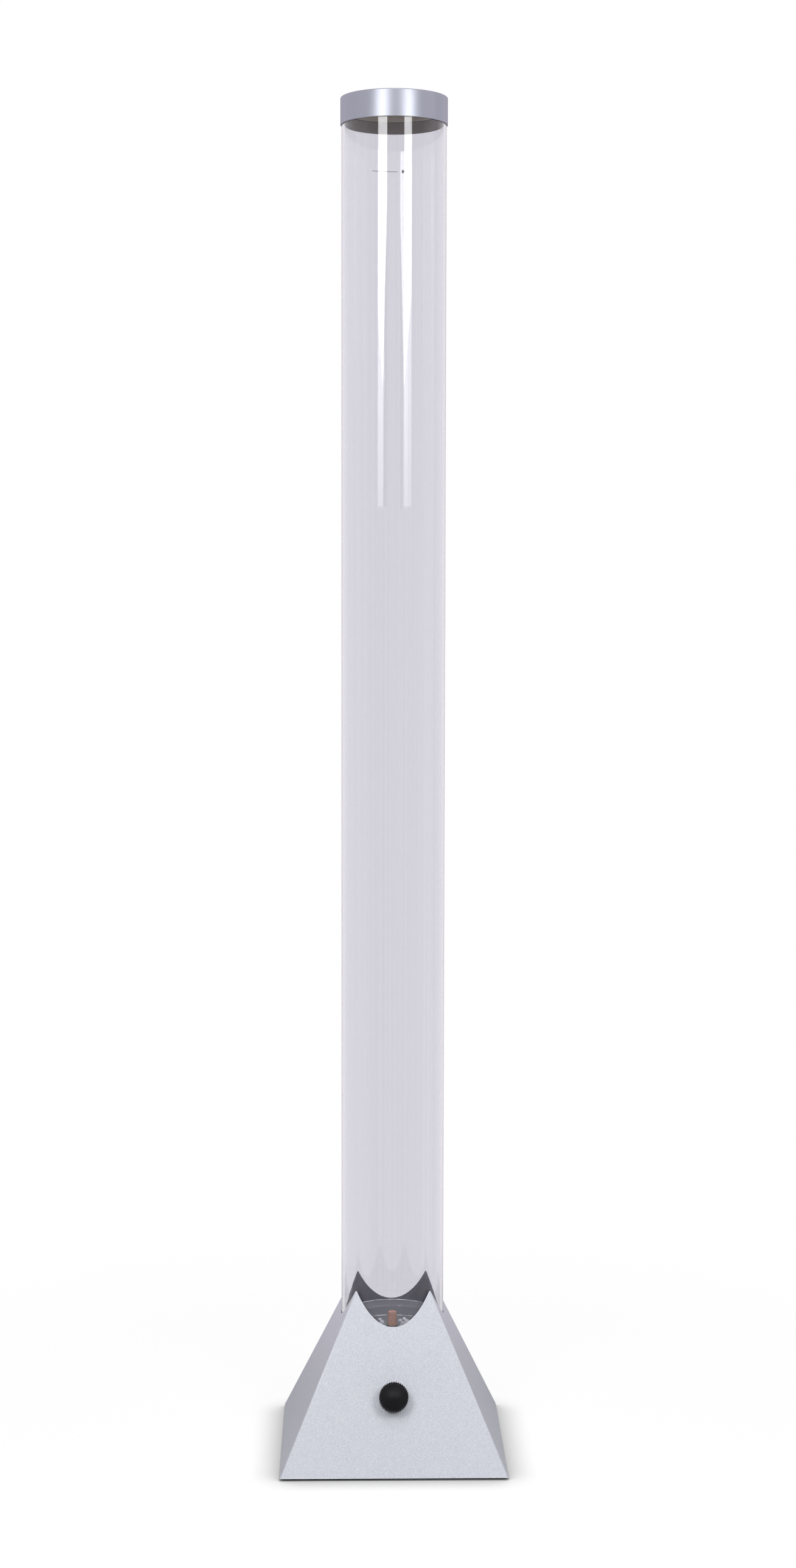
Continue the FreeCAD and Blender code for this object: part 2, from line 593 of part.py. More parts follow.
def rotary_control():
    """Square control behind the face, with three tabs and the bush that passes through the wall."""
    body = box(-8.0, 8.0, -8.0, 8.0, CONTROL_BACK, -COVER_WALL)
    bush = cylinder(BUSH_RADIUS, -COVER_WALL - 1.0, BUSH_END)
    tabs = [box(u - 0.5, u + 0.5, -11.5, -7.0, CONTROL_BACK + 0.6, CONTROL_BACK + 1.4)
            for u in (-5.0, 0.0, 5.0)]
    bore = cylinder(SHAFT_RADIUS + FIT_GAP, CONTROL_BACK + 1.5, BUSH_END + 1.0)
    return placed(joined(body, bush, *tabs).cut(bore), KNOB_PLACE)


def hexagon(across_flats, bore, z0, z1):
    """Hexagon nut, level, round the local axis."""
    nut = rod(across_flats / math.sqrt(3), z0, z1, sides=6)
    return nut.cut(rod(bore, z0 - 1.0, z1 + 1.0, sides=SMALL_SIDES))


def control_nut():
    return placed(hexagon(10.0, BUSH_RADIUS + 0.1, 0.7, 2.9), KNOB_PLACE)


def control_washer():
    disc = rod(6.2, 0.0, 0.7, sides=SMALL_SIDES)
    return placed(disc.cut(rod(BUSH_RADIUS + 0.15, -1.0, 1.7, sides=SMALL_SIDES)), KNOB_PLACE)


def control_board():
    """Circuit board carried by the rotary control, level with the face."""
    return placed(box(-31.0, 31.0, -18.0, 18.0, CIRCUIT_BACK, CONTROL_BACK), KNOB_PLACE)


def board_parts():
    """Capacitor, driver chip, choke and the three plug-in connectors on the board's back."""
    parts = [rod(4.0, CIRCUIT_BACK - 11.0, CIRCUIT_BACK, 20.0, 6.0),
             box(-24.0, -14.0, 2.0, 12.0, CIRCUIT_BACK - 6.0, CIRCUIT_BACK),
             box(-7.0, 3.0, 3.0, 9.0, CIRCUIT_BACK - 1.7, CIRCUIT_BACK)]
    for u in CONNECTORS_X:
        parts.append(box(u - 4.0, u + 4.0, CONNECTOR_UP - 3.0, CONNECTOR_UP + 3.0,
                         CONNECTOR_BACK, CIRCUIT_BACK))
    return [placed(p, KNOB_PLACE) for p in parts]


# ---- power socket -------------------------------------------------------------------------------
SOCKET_BACK = -12.0
BARREL_DEPTH = 10.5
BARREL_RADIUS = 2.85
CONTACT_RADIUS = 1.05
FLANGE = 1.8


def power_socket():
    """Panel socket for a 5.5 mm barrel plug."""
    body = revolved([(0.0, SOCKET_BACK), (5.4, SOCKET_BACK), (5.4, 0.0), (6.8, 0.0), (6.8, FLANGE),
                     (BARREL_RADIUS, FLANGE), (BARREL_RADIUS, FLANGE - BARREL_DEPTH),
                     (0.0, FLANGE - BARREL_DEPTH)])
    return placed(body, SOCKET_PLACE)


def power_socket_pin():
    """Centre contact, standing on the floor of the socket's barrel."""
    return placed(cylinder(CONTACT_RADIUS, FLANGE - BARREL_DEPTH, FLANGE - 1.5), SOCKET_PLACE)


def power_socket_nut():
    return placed(hexagon(14.0, 5.4 + 0.1, -COVER_WALL - 2.4, -COVER_WALL), SOCKET_PLACE)


# ---- leads inside the base ----------------------------------------------------------------------
def connector(x):
    """Where a lead leaves its connector, and the end of its first straight run, as (y, z)."""
    back = KNOB_PLACE.multVec(Vector(x, CONNECTOR_UP, CONNECTOR_BACK))
    away = KNOB_PLACE.multVec(Vector(x, CONNECTOR_UP, CONNECTOR_BACK - 10.0))
    return [(back.y, back.z), (away.y, away.z)]


def flat_lead(x, route):
    """Flat lead folded along a route of (y, z) points in an upright plane, its width level."""
    rings = []
    stops = [Vector(x, y, z) for y, z in route]
    level = Vector(LEAD_WIDTH / 2, 0, 0)
    for i, stop in enumerate(stops):
        arriving = (stop - stops[max(i - 1, 0)]) if i else (stops[1] - stop)
        leaving = (stops[i + 1] - stop) if i + 1 < len(stops) else arriving
        arriving.normalize()
        leaving.normalize()
        along = (arriving + leaving).normalize()
        across = Vector(0, -along.z, along.y) * (LEAD_THICKNESS / 2 / along.dot(leaving))
        rings.append([stop - level - across, stop + level - across, stop + level + across,
                      stop - level + across])
    return stacked(rings)


def led_lead():
    """Lead from the board's middle connector up to the ring of lights."""
    return flat_lead(0.0, connector(0.0) + [(-33.0, 60.0), (-33.0, SOCKET_FLOOR_TOP)])


def pump_lead():
    """Lead from the board down to the pump's winding."""
    height = coil_underside() - LEAD_THICKNESS / 2
    return flat_lead(PUMP_LEAD_X, connector(PUMP_LEAD_X) + [(-34.0, height), (CORE_Y, height)])


def power_lead():
    """Lead from the power socket past the pump to the board."""
    rear = SOCKET_PLACE.multVec(Vector(0, 0, SOCKET_BACK))
    rear_away = SOCKET_PLACE.multVec(Vector(0, 0, SOCKET_BACK - 8.0))
    return flat_lead(POWER_SOCKET_X, connector(POWER_SOCKET_X)
                     + [(-34.0, 12.0), (rear_away.y, rear_away.z), (rear.y, rear.z)])


# ---- cap ----------------------------------------------------------------------------------------
CAP_OUTER = 46.95
CAP_BORE = TUBE_RADIUS + 0.3
CAP_SHEET = 0.8
CAP_EDGE = 0.6


def top_cap():
    """Drawn metal lid with an eased top edge; lifts off for filling."""
    low = TOTAL_HEIGHT - CAP_HEIGHT
    ceiling = TOTAL_HEIGHT - CAP_SHEET
    return revolved([
        (CAP_BORE, low), (CAP_OUTER, low), (CAP_OUTER, TOTAL_HEIGHT - CAP_EDGE),
        (CAP_OUTER - CAP_EDGE, TOTAL_HEIGHT), (0.0, TOTAL_HEIGHT), (0.0, ceiling), (CAP_BORE, ceiling),
    ])


def cap_liner():
    """Dark plastic insert glued in the cap; its rim sits on the tube's end."""
    rest = TUBE_TOP + FIT_GAP
    top = TOTAL_HEIGHT - CAP_SHEET
    insert = rod(CAP_BORE - FIT_GAP, rest, top, sides=WIDE_SIDES)
    return insert.cut(rod(TUBE_BORE + 0.1, rest - 1.0, top - 1.5, sides=WIDE_SIDES))


NODES = [
    pyramid_cover, base_plate, rubber_feet, cover_screws, socket_screws,
    tube_socket, tube_foot_gasket, water_tube, tube_plug, stone_nozzle, air_stone,
    led_board, led_lamps, led_board_screws,
    pump_case, pump_lid, pump_lid_screws, pump_mounts, pump_core, pump_bobbin, pump_coil,
    pump_pivot_pin, pump_lever, pump_magnet, bellows_screw, pump_bellows, pump_valve_head,
    check_valve, air_hose_lower, air_hose_upper,
    control_knob, knob_shaft, rotary_control, control_nut, control_washer, control_board, board_parts,
    power_socket, power_socket_pin, power_socket_nut, led_lead, pump_lead, power_lead,
    top_cap, cap_liner,
]

os.makedirs("parts", exist_ok=True)
for make in NODES:
    made = make()
    shape = Part.makeCompound(made) if isinstance(made, list) else made
    print(f"{make.__name__}: {len(shape.Solids)} solid(s), {shape.Volume:.1f} mm3, valid {shape.isValid()}")
    shape.exportStep(f"parts/{make.__name__}.step")
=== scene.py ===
import math

import bpy
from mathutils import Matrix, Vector


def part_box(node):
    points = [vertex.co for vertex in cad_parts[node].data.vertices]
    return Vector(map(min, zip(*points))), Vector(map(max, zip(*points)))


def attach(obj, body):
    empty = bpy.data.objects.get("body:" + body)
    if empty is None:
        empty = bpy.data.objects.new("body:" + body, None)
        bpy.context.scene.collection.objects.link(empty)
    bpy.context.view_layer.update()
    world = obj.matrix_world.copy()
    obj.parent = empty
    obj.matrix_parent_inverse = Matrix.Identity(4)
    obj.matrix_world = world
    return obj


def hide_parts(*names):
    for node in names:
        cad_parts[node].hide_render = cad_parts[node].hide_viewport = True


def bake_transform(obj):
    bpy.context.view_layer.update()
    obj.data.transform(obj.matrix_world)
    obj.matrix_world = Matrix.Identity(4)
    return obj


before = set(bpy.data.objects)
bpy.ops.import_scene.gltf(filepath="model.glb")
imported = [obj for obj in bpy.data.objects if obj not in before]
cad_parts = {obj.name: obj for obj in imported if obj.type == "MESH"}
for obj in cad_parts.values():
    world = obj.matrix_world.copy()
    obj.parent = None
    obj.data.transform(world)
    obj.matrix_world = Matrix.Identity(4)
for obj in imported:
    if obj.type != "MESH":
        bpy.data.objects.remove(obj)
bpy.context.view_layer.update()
bpy.context.scene.view_settings.view_transform = "Standard"

# ---- Camera --------------------------------------------------------------------------------------
# The lamp is seen from the front at two thirds of its height, from far back with a long lens, so
# that the tube's sides stay all but parallel. The frame's longer side is its height, 36 mm.
view = bpy.data.cameras.new("view")
view.sensor_fit = "AUTO"
view.sensor_width = 36.0
view.lens = 57.28
camera = bpy.data.objects.new("camera", view)
bpy.context.collection.objects.link(camera)
camera.location = (-0.0396, -2.2150, 0.7826)
camera.rotation_euler = (math.radians(85.304), math.radians(-0.096), math.radians(-1.129))
bpy.context.scene.camera = camera


# ---- Studio --------------------------------------------------------------------------------------
# A white room without corners: it shows white behind the lamp and through its clear tube. In gloss
# it shows grey in front and pale panels with gaps at the sides, and a soft grey fills the shadows.
def node(tree, kind, inputs=(), **settings):
    """Adds a node with its settings; inputs maps a socket to a value or to the socket that feeds it."""
    made = tree.nodes.new("ShaderNode" + kind)
    for name, value in settings.items():
        setattr(made, name, value)
    for socket, value in dict(inputs).items():
        if isinstance(value, bpy.types.NodeSocket):
            tree.links.new(value, made.inputs[socket])
        else:
            made.inputs[socket].default_value = value
    return made


WHITE_LEVEL = 1.0
FILL_LEVEL = 0.17
# How bright the room is in gloss, by bearing in degrees from the front, positive to the right.
GLOSS_LEVELS = ((-180, 0.74), (-150, 0.76), (-130, 1.02), (-118, 0.82), (-108, 0.98), (-100, 0.74),
                (-74, 0.84), (-48, 0.36), (66, 0.42), (71, 0.92), (97, 0.98), (103, 0.54), (114, 0.84),
                (126, 1.02), (150, 0.76), (180, 0.74))
# The room's light is a little violet, which gives the greys of the lamp their cool cast.
LIGHT_TINT = (0.98, 0.92, 1.02, 1.0)
PLAIN_WHITE = (1.0, 1.0, 1.0, 1.0)
room = bpy.data.worlds.new("white_room")
bpy.context.scene.world = room
room.use_nodes = True
tree = room.node_tree
tree.nodes.clear()
direction = node(tree, "SeparateXYZ", {0: node(tree, "TexCoord").outputs["Generated"]}).outputs
ahead = node(tree, "Math", {0: direction["Y"], 1: -1.0}, operation="MULTIPLY").outputs[0]
bearing = node(tree, "Math", {0: direction["X"], 1: ahead}, operation="ARCTAN2").outputs[0]
turn = node(tree, "MapRange", {"Value": bearing, "From Min": -math.pi, "From Max": math.pi}).outputs[0]
panels = node(tree, "ValToRGB", {"Fac": turn})
stops = panels.color_ramp.elements
for degrees, value in GLOSS_LEVELS[1:-1]:
    stops.new(degrees / 360 + 0.5)
for stop, (degrees, value) in zip(stops, GLOSS_LEVELS):
    stop.color = (value, value, value, 1.0)
path = node(tree, "LightPath").outputs
seen = node(tree, "Math", {0: path["Is Camera Ray"], 1: path["Is Transmission Ray"]},
            operation="MAXIMUM").outputs[0]
level = node(tree, "Mix", {0: path["Is Glossy Ray"], 2: FILL_LEVEL, 3: panels.outputs[0]}).outputs[0]
level = node(tree, "Mix", {0: seen, 2: level, 3: WHITE_LEVEL}).outputs[0]
tone = node(tree, "Mix", {0: seen, 6: LIGHT_TINT, 7: PLAIN_WHITE}, data_type="RGBA")
sky = node(tree, "Background", {"Color": tone.outputs[2], "Strength": level})
node(tree, "OutputWorld", {"Surface": sky.outputs[0]})

# Two tall softboxes stand in front, left and right, and their reflections make the bright bands
# down the tube and round the cap. Each cloth is hot above and dim at its lower end, and the hot part
# runs down to a point. On the cloth's own scale, -0.5 is its bottom and 0.5 its top.
SOFTBOX_BOTTOM = 0.902
SOFTBOX_TOP = 2.10
SOFTBOX_HOT = 8.4
SOFTBOX_DIM = 3.6
SOFTBOX_END = 1.8
POINT_LEVEL, POINT_BLUR = -0.33, 0.015
FADE_TOP = -0.25


def softbox(name, bearing, distance, width, tip, rises, lower_end):
    """Lit cloth window; bearing is in degrees from the front, positive to the right.

    Across the cloth, 0.5 is its edge beside the middle of the room and -0.5 the far one. The hot
    part's point is at tip, and rises are the heights of its slopes at the far and the near edge, as
    shares of the cloth's height. The dim end reaches from the far edge to lower_end.
    """
    height = SOFTBOX_TOP - SOFTBOX_BOTTOM
    turn = math.radians(bearing)
    stand = (distance * math.sin(turn), -distance * math.cos(turn), (SOFTBOX_TOP + SOFTBOX_BOTTOM) / 2)
    bpy.ops.mesh.primitive_plane_add(size=1.0, location=stand, rotation=(math.pi / 2, 0.0, turn + math.pi))
    window = bpy.context.object
    window.name = name
    window.scale = (width, height, 1.0)
    cloth = bpy.data.materials.new(name + "_cloth")
    cloth.use_nodes = True
    tree = cloth.node_tree
    tree.nodes.clear()
    place = node(tree, "SeparateXYZ", {0: node(tree, "TexCoord").outputs["Object"]}).outputs
    across = node(tree, "Math", {0: place["X"], 1: math.copysign(1.0, bearing)},
                  operation="MULTIPLY").outputs[0]
    far_rise = node(tree, "MapRange", {"Value": across, "From Min": tip, "From Max": -0.5,
                                       "To Min": 0.0, "To Max": rises[0]}).outputs[0]
    # The range ends just past the edge, so that it isn't empty when the point lies on the edge.
    near_rise = node(tree, "MapRange", {"Value": across, "From Min": tip, "From Max": 0.501,
                                        "To Min": 0.0, "To Max": rises[1]}).outputs[0]
    edge = node(tree, "Math", {0: far_rise, 1: near_rise}, operation="MAXIMUM").outputs[0]
    above = node(tree, "Math", {0: place["Y"], 1: edge}, operation="SUBTRACT").outputs[0]
    hot = node(tree, "MapRange", {"Value": above, "From Min": POINT_LEVEL - POINT_BLUR,
                                  "From Max": POINT_LEVEL + POINT_BLUR},
               interpolation_type="SMOOTHSTEP").outputs[0]
    fading = node(tree, "MapRange", {"Value": place["Y"], "From Min": -0.5, "From Max": FADE_TOP,
                                     "To Min": SOFTBOX_END, "To Max": SOFTBOX_DIM}).outputs[0]
    within = node(tree, "Math", {0: across, 1: lower_end}, operation="LESS_THAN").outputs[0]
    dim = node(tree, "Math", {0: fading, 1: within}, operation="MULTIPLY").outputs[0]
    glow = node(tree, "Mix", {0: hot, 2: dim, 3: SOFTBOX_HOT}).outputs[0]
    light = node(tree, "Emission", {"Strength": glow})
    dark = node(tree, "Emission", {"Strength": 0.0})
    back = node(tree, "NewGeometry").outputs["Backfacing"]
    sides = node(tree, "MixShader", {0: back, 1: light.outputs[0], 2: dark.outputs[0]})
    node(tree, "OutputMaterial", {"Surface": sides.outputs[0]})
    window.data.materials.append(cloth)
    window.visible_camera = False
    window.visible_shadow = False


softbox("softbox_left", bearing=-25.7, distance=2.0, width=0.69, tip=0.0, rises=(0.10, 0.25),
        lower_end=0.09)
softbox("softbox_right", bearing=29.8, distance=2.0, width=0.585, tip=0.5, rises=(0.12, 0.0),
        lower_end=0.51)

# A third softbox hangs above and in front. It lights the pyramid's faces, and no upright surface
# shows it.
OVERHEAD_LEVEL = 3.75
OVERHEAD_SIZE = 1.1
OVERHEAD_PLACE = (0.0, -1.3, 2.5)
OVERHEAD_TILT = -28.0
bpy.ops.mesh.primitive_plane_add(size=OVERHEAD_SIZE, location=OVERHEAD_PLACE,
                                 rotation=(math.radians(OVERHEAD_TILT), 0.0, 0.0))
overhead = bpy.context.object
overhead.name = "softbox_overhead"
cloth = bpy.data.materials.new("softbox_overhead_cloth")
cloth.use_nodes = True
tree = cloth.node_tree
tree.nodes.clear()
node(tree, "OutputMaterial", {"Surface": node(tree, "Emission", {"Strength": OVERHEAD_LEVEL}).outputs[0]})
overhead.data.materials.append(cloth)
overhead.visible_camera = False
overhead.visible_shadow = False

# The floor is white paper. It takes the lamp's soft shadow and fades into the white room. To the
# camera and through the tube most of its white is its own glow, so that it matches the room, and that
# glow is dimmed by ambient occlusion where the lamp stands close over it: a painted contact shadow.
FLOOR_RADIUS = 0.75
FADE_START = 0.30
PAPER_GREY, PAPER_GREY_SEEN = (0.9, 0.9, 0.9, 1.0), (0.20, 0.20, 0.20, 1.0)
OWN_WHITE = 0.90
SHADE_REACH, SHADE_POWER = 0.03, 1.8
bpy.ops.mesh.primitive_circle_add(vertices=96, radius=FLOOR_RADIUS, fill_type="NGON")
floor = bpy.context.object
floor.name = "floor"
paper = bpy.data.materials.new("floor_white_paper")
paper.use_nodes = True
tree = paper.node_tree
tree.nodes.clear()
place = node(tree, "TexCoord").outputs["Object"]
reach = node(tree, "VectorMath", {0: place}, operation="LENGTH").outputs["Value"]
fade = node(tree, "MapRange", {"Value": reach, "From Min": FADE_START, "From Max": FLOOR_RADIUS},
            interpolation_type="SMOOTHSTEP").outputs[0]
matt = node(tree, "BsdfDiffuse", {"Color": PAPER_GREY})
dim = node(tree, "BsdfDiffuse", {"Color": PAPER_GREY_SEEN})
# Painted shadow: the floor's own white is scaled down by ambient occlusion near the lamp.
open_above = node(tree, "AmbientOcclusion", {"Distance": SHADE_REACH}, samples=16).outputs["AO"]
closeness = node(tree, "Math", {0: open_above, 1: SHADE_POWER}, operation="POWER").outputs[0]
white = node(tree, "Math", {0: closeness, 1: OWN_WHITE}, operation="MULTIPLY").outputs[0]
own = node(tree, "Emission", {"Strength": white})
lit = node(tree, "AddShader", {0: dim.outputs[0], 1: own.outputs[0]})
path = node(tree, "LightPath").outputs
seen = node(tree, "Math", {0: path["Is Camera Ray"], 1: path["Is Transmission Ray"]},
            operation="MAXIMUM").outputs[0]
shown = node(tree, "MixShader", {0: seen, 1: matt.outputs[0], 2: lit.outputs[0]})
clear = node(tree, "BsdfTransparent")
both = node(tree, "MixShader", {0: fade, 1: shown.outputs[0], 2: clear.outputs[0]})
node(tree, "OutputMaterial", {"Surface": both.outputs[0]})
floor.data.materials.append(paper)


# ---- Base plate, feet and screws -----------------------------------------------------------------
# The floor of the lamp is a moulded black ABS plate with a spark-eroded, finely grained face. Four
# rubber pads are bonded under it, and zinc-plated screws hold the cover and the tube's socket.
MM = 0.001  # one millimetre, in the scene's metres


def linear(hex_colour):
    """Linear RGBA of an sRGB hex colour."""
    parts = [int(hex_colour[i:i + 2], 16) / 255 for i in (1, 3, 5)]
    return (*[c / 12.92 if c <= 0.04045 else ((c + 0.055) / 1.055) ** 2.4 for c in parts], 1.0)


def started(name):
    """Empty material, its node tree and the object's own coordinates."""
    material = bpy.data.materials.new(name)
    material.use_nodes = True
    material.node_tree.nodes.clear()
    where = node(material.node_tree, "TexCoord").outputs["Object"]
    return material, material.node_tree, where


def grained(name, colour, roughness, grain, relief, metallic=0.0, ior=1.5, mottle=0.08, along=(1, 1, 1)):
    """Solid finish with a fine relief: grain is its pitch and relief its depth, in millimetres.

    The colour varies by the share mottle and the roughness by 0.06 either way, in broader patches.
    """
    material, tree, where = started(name)
    where = node(tree, "Mapping", {"Vector": where, "Scale": along}).outputs[0]
    fine = node(tree, "TexNoise", {"Vector": where, "Scale": 1 / (grain * MM),
                                   "Detail": 3.0}).outputs["Fac"]
    broad = node(tree, "TexNoise", {"Vector": where, "Scale": 1 / (14 * grain * MM)}).outputs["Fac"]
    dark = [c * (1 - mottle) for c in linear(colour)[:3]] + [1.0]
    pale = [min(1.0, c * (1 + mottle)) for c in linear(colour)[:3]] + [1.0]
    mixed = node(tree, "Mix", {0: broad, 6: dark, 7: pale}, data_type="RGBA").outputs[2]
    rough = node(tree, "MapRange", {"Value": broad, "To Min": roughness - 0.06, "To Max": roughness + 0.06})
    bump = node(tree, "Bump", {"Height": fine, "Distance": relief * MM, "Strength": 1.0})
    shader = node(tree, "BsdfPrincipled", {"Base Color": mixed, "Roughness": rough.outputs[0],
                                           "Metallic": metallic, "IOR": ior, "Normal": bump.outputs[0]})
    node(tree, "OutputMaterial", {"Surface": shader.outputs[0]})
    return material


def dress(material, *nodes):
    """Gives CAD nodes their finish."""
    for name in nodes:
        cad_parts[name].data.materials.clear()
        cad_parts[name].data.materials.append(material)


# Moulded ABS, black, with a spark-eroded grain of about 0.4 mm that keeps its gloss low.
black_abs = grained("abs_black_moulded", "#1B1B1D", roughness=0.52, grain=0.4, relief=0.03, ior=1.54)
# Zinc plate on steel, bright but slightly milky.
zinc = grained("steel_zinc_plated", "#B9BABC", roughness=0.32, grain=0.6, relief=0.004, metallic=1.0)
# Moulded rubber, matt and a little dusty.
rubber = grained("rubber_black_moulded", "#222223", roughness=0.78, grain=0.5, relief=0.02, ior=1.52)
dress(black_abs, "base_plate", "tube_socket")
dress(zinc, "cover_screws", "socket_screws", "led_board_screws", "pump_lid_screws", "pump_pivot_pin",
      "bellows_screw")
dress(rubber, "rubber_feet", "pump_mounts", "tube_foot_gasket")


# ---- Air pump ------------------------------------------------------------------------------------
# A coil on an iron core shakes a magnet on a lever, and the lever works a rubber bellows. All of it
# sits in a moulded case on rubber posts, hidden in the base.

# Moulded ABS, off-white and satin.
pump_abs = grained("abs_white_moulded", "#D9D9D4", roughness=0.42, grain=0.5, relief=0.015, ior=1.54)
# Stacked electrical sheet, its edges dull grey.
core_iron = grained("iron_sheet_stacked", "#5B5C60", roughness=0.55, grain=0.5, relief=0.02,
                    metallic=1.0, along=(1, 1, 8))
# Enamelled copper wire wound in fine turns of about 0.2 mm.
copper = grained("copper_enamelled_wire", "#A8562B", roughness=0.35, grain=0.3, relief=0.04,
                 metallic=1.0, along=(8, 1, 1))
# Sintered ferrite, dark grey and matt.
ferrite = grained("ferrite_sintered", "#2E2E31", roughness=0.6, grain=0.4, relief=0.02)
# Black moulded nylon.
nylon = grained("nylon_black_moulded", "#17171A", roughness=0.45, grain=0.4, relief=0.015, ior=1.53)
dress(pump_abs, "pump_case", "pump_lid", "pump_valve_head", "check_valve")
dress(core_iron, "pump_core")
dress(copper, "pump_coil")
dress(ferrite, "pump_magnet")
dress(nylon, "pump_bobbin", "pump_lever")


def deselected():
    """Leaves nothing selected, so that an operator acts on the new piece alone."""
    bpy.ops.object.select_all(action="DESELECT")


def applied(piece):
    """Puts a piece's place, turn and size into its mesh, and leaves it selected and active."""
    deselected()
    piece.select_set(True)
    bpy.context.view_layer.objects.active = piece
    bpy.ops.object.transform_apply(location=True, rotation=True, scale=True)


def turned(name, profile, steps=96, smooth=35.0, sweep=360.0):
    """Piece turned on a lathe: (radius, height) points in millimetres, spun about the lamp's axis.

    It has steps sides in its sweep, and edges of less than smooth degrees are shaded round.
    """
    deselected()
    points = [Vector((r * MM, 0.0, z * MM)) for r, z in profile]
    bpy.ops.mesh.primitive_plane_add(size=2 * MM, location=points[0])
    piece = bpy.context.object
    piece.name = name
    applied(piece)
    bpy.ops.object.mode_set(mode="EDIT")
    bpy.ops.mesh.merge(type="CENTER")
    for before, after in zip(points, points[1:]):
        bpy.ops.mesh.extrude_region_move(TRANSFORM_OT_translate={"value": after - before})
    bpy.ops.mesh.select_all(action="SELECT")
    bpy.ops.mesh.remove_doubles(threshold=0.001 * MM)
    bpy.ops.mesh.spin(steps=steps, angle=math.radians(sweep), center=(0.0, 0.0, 0.0), axis=(0.0, 0.0, 1.0))
    bpy.ops.mesh.select_all(action="SELECT")
    bpy.ops.mesh.remove_doubles(threshold=0.002 * MM)
    bpy.ops.mesh.normals_make_consistent(inside=False)
    bpy.ops.object.mode_set(mode="OBJECT")
    bpy.ops.object.shade_smooth_by_angle(angle=math.radians(smooth))
    return piece


# The bellows is a soft rubber cup. Its hub is screwed to the lever and its rim sits on the valve
# head. In the lamp its cone flexes as the lever rocks; here it is one rigid mesh.
bellows_low, bellows_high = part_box("pump_bellows")
BELLOWS_REACH = (bellows_high.x - bellows_low.x) / MM
RIM_RADIUS = (bellows_high.y - bellows_low.y) / 2 / MM
RIM_THICK = 1.4
HUB_RADIUS, HUB_LENGTH, SCREW_HOLE, SCREW_DEPTH = 3.4, 2.4, 1.15, 2.2
bellows_level = (bellows_low.z + bellows_high.z) / 2
bellows = turned("bellows_cup", [
    (SCREW_HOLE, 0.0), (HUB_RADIUS - 0.3, 0.0), (HUB_RADIUS, 0.3), (HUB_RADIUS, HUB_LENGTH - 0.3),
    (HUB_RADIUS + 0.5, HUB_LENGTH + 0.15), (RIM_RADIUS - 1.0, 4.1), (RIM_RADIUS - 0.2, 4.6),
    (RIM_RADIUS, 5.2), (RIM_RADIUS, BELLOWS_REACH), (RIM_RADIUS - RIM_THICK, BELLOWS_REACH),
    (RIM_RADIUS - RIM_THICK, 5.6), (RIM_RADIUS - 1.9, 5.1), (HUB_RADIUS - 0.6, 3.5), (0.0, 3.4),
    (0.0, SCREW_DEPTH), (SCREW_HOLE, SCREW_DEPTH), (SCREW_HOLE, 0.0)], steps=48)
bellows.rotation_euler.y = math.pi / 2
bellows.location = (bellows_low.x, 0.0, bellows_level)
applied(bellows)
bellows.data.materials.append(rubber)
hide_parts("pump_bellows")
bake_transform(bellows)


# ---- Circuit boards, control and leads -----------------------------------------------------------
# The control board hangs on the rotary control behind the front face. Leads in soft black sleeves
# join it to the lights, the pump and the inlet, and silicone hose carries the air.

# Solder mask over glass fibre, green and semi-gloss.
solder_mask = grained("solder_mask_green", "#1E5A33", roughness=0.35, grain=0.6, relief=0.01)
# Moulded epoxy bodies of the components, black and satin.
component = grained("epoxy_black_moulded", "#1A1A1C", roughness=0.4, grain=0.3, relief=0.01)
# Nickel plate on brass, warm and bright.
nickel = grained("brass_nickel_plated", "#C9C3B6", roughness=0.24, grain=0.5, relief=0.003, metallic=1.0)
# Turned aluminium spindle.
turned_alloy = grained("aluminium_turned", "#C4C5C8", roughness=0.3, grain=0.2, relief=0.006, metallic=1.0)
# Soft PVC sleeve.
sleeve = grained("pvc_black_sleeve", "#161617", roughness=0.45, grain=0.5, relief=0.01)
dress(solder_mask, "led_board", "control_board")
dress(component, "board_parts", "power_socket")
dress(nickel, "control_nut", "control_washer", "power_socket_nut", "power_socket_pin")
dress(zinc, "rotary_control")
dress(turned_alloy, "knob_shaft")
dress(sleeve, "led_lead", "pump_lead", "power_lead")
# Extruded silicone, milky white and soft, with a satin skin.
silicone = grained("silicone_extruded_milky", "#CFD3D3", roughness=0.4, grain=0.8, relief=0.01, ior=1.41)
dress(silicone, "air_hose_lower", "air_hose_upper")


# ---- Lights --------------------------------------------------------------------------------------
# Twelve surface-mounted lights are soldered on the round board under the plug: white moulded
# packages, 5 mm square, each with a round well of yellow-tinted cast silicone.
def joined_by(piece, other, operation):
    """Applies a Boolean of another object to the piece, and deletes the other."""
    deselected()
    bpy.context.view_layer.objects.active = piece
    cut = piece.modifiers.new("cut", "BOOLEAN")
    cut.operation = operation
    cut.solver = "EXACT"
    cut.object = other
    bpy.ops.object.modifier_apply(modifier=cut.name)
    bpy.data.objects.remove(other)
    return piece


def merged(piece, *others):
    """Makes one piece of several."""
    deselected()
    for each in (piece, *others):
        each.select_set(True)
    bpy.context.view_layer.objects.active = piece
    bpy.ops.object.join()


def settled(piece, body, slot, *nodes):
    """Gives a finished piece its body and hides the nodes that it stands for; the slot is not used."""
    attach(piece, body)
    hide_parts(*nodes)


LIGHT_COUNT = 12
LIGHT_CIRCLE = 28.0
LIGHT_WIDTH = 5.0
WELL_RADIUS, WELL_DEPTH = 1.9, 0.4
lights_low, lights_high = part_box("led_lamps")
foot, top = lights_low.z / MM, lights_high.z / MM
# Moulded white package, satin.
package_white = grained("package_white_moulded", "#E9E9E4", roughness=0.4, grain=0.3, relief=0.005)
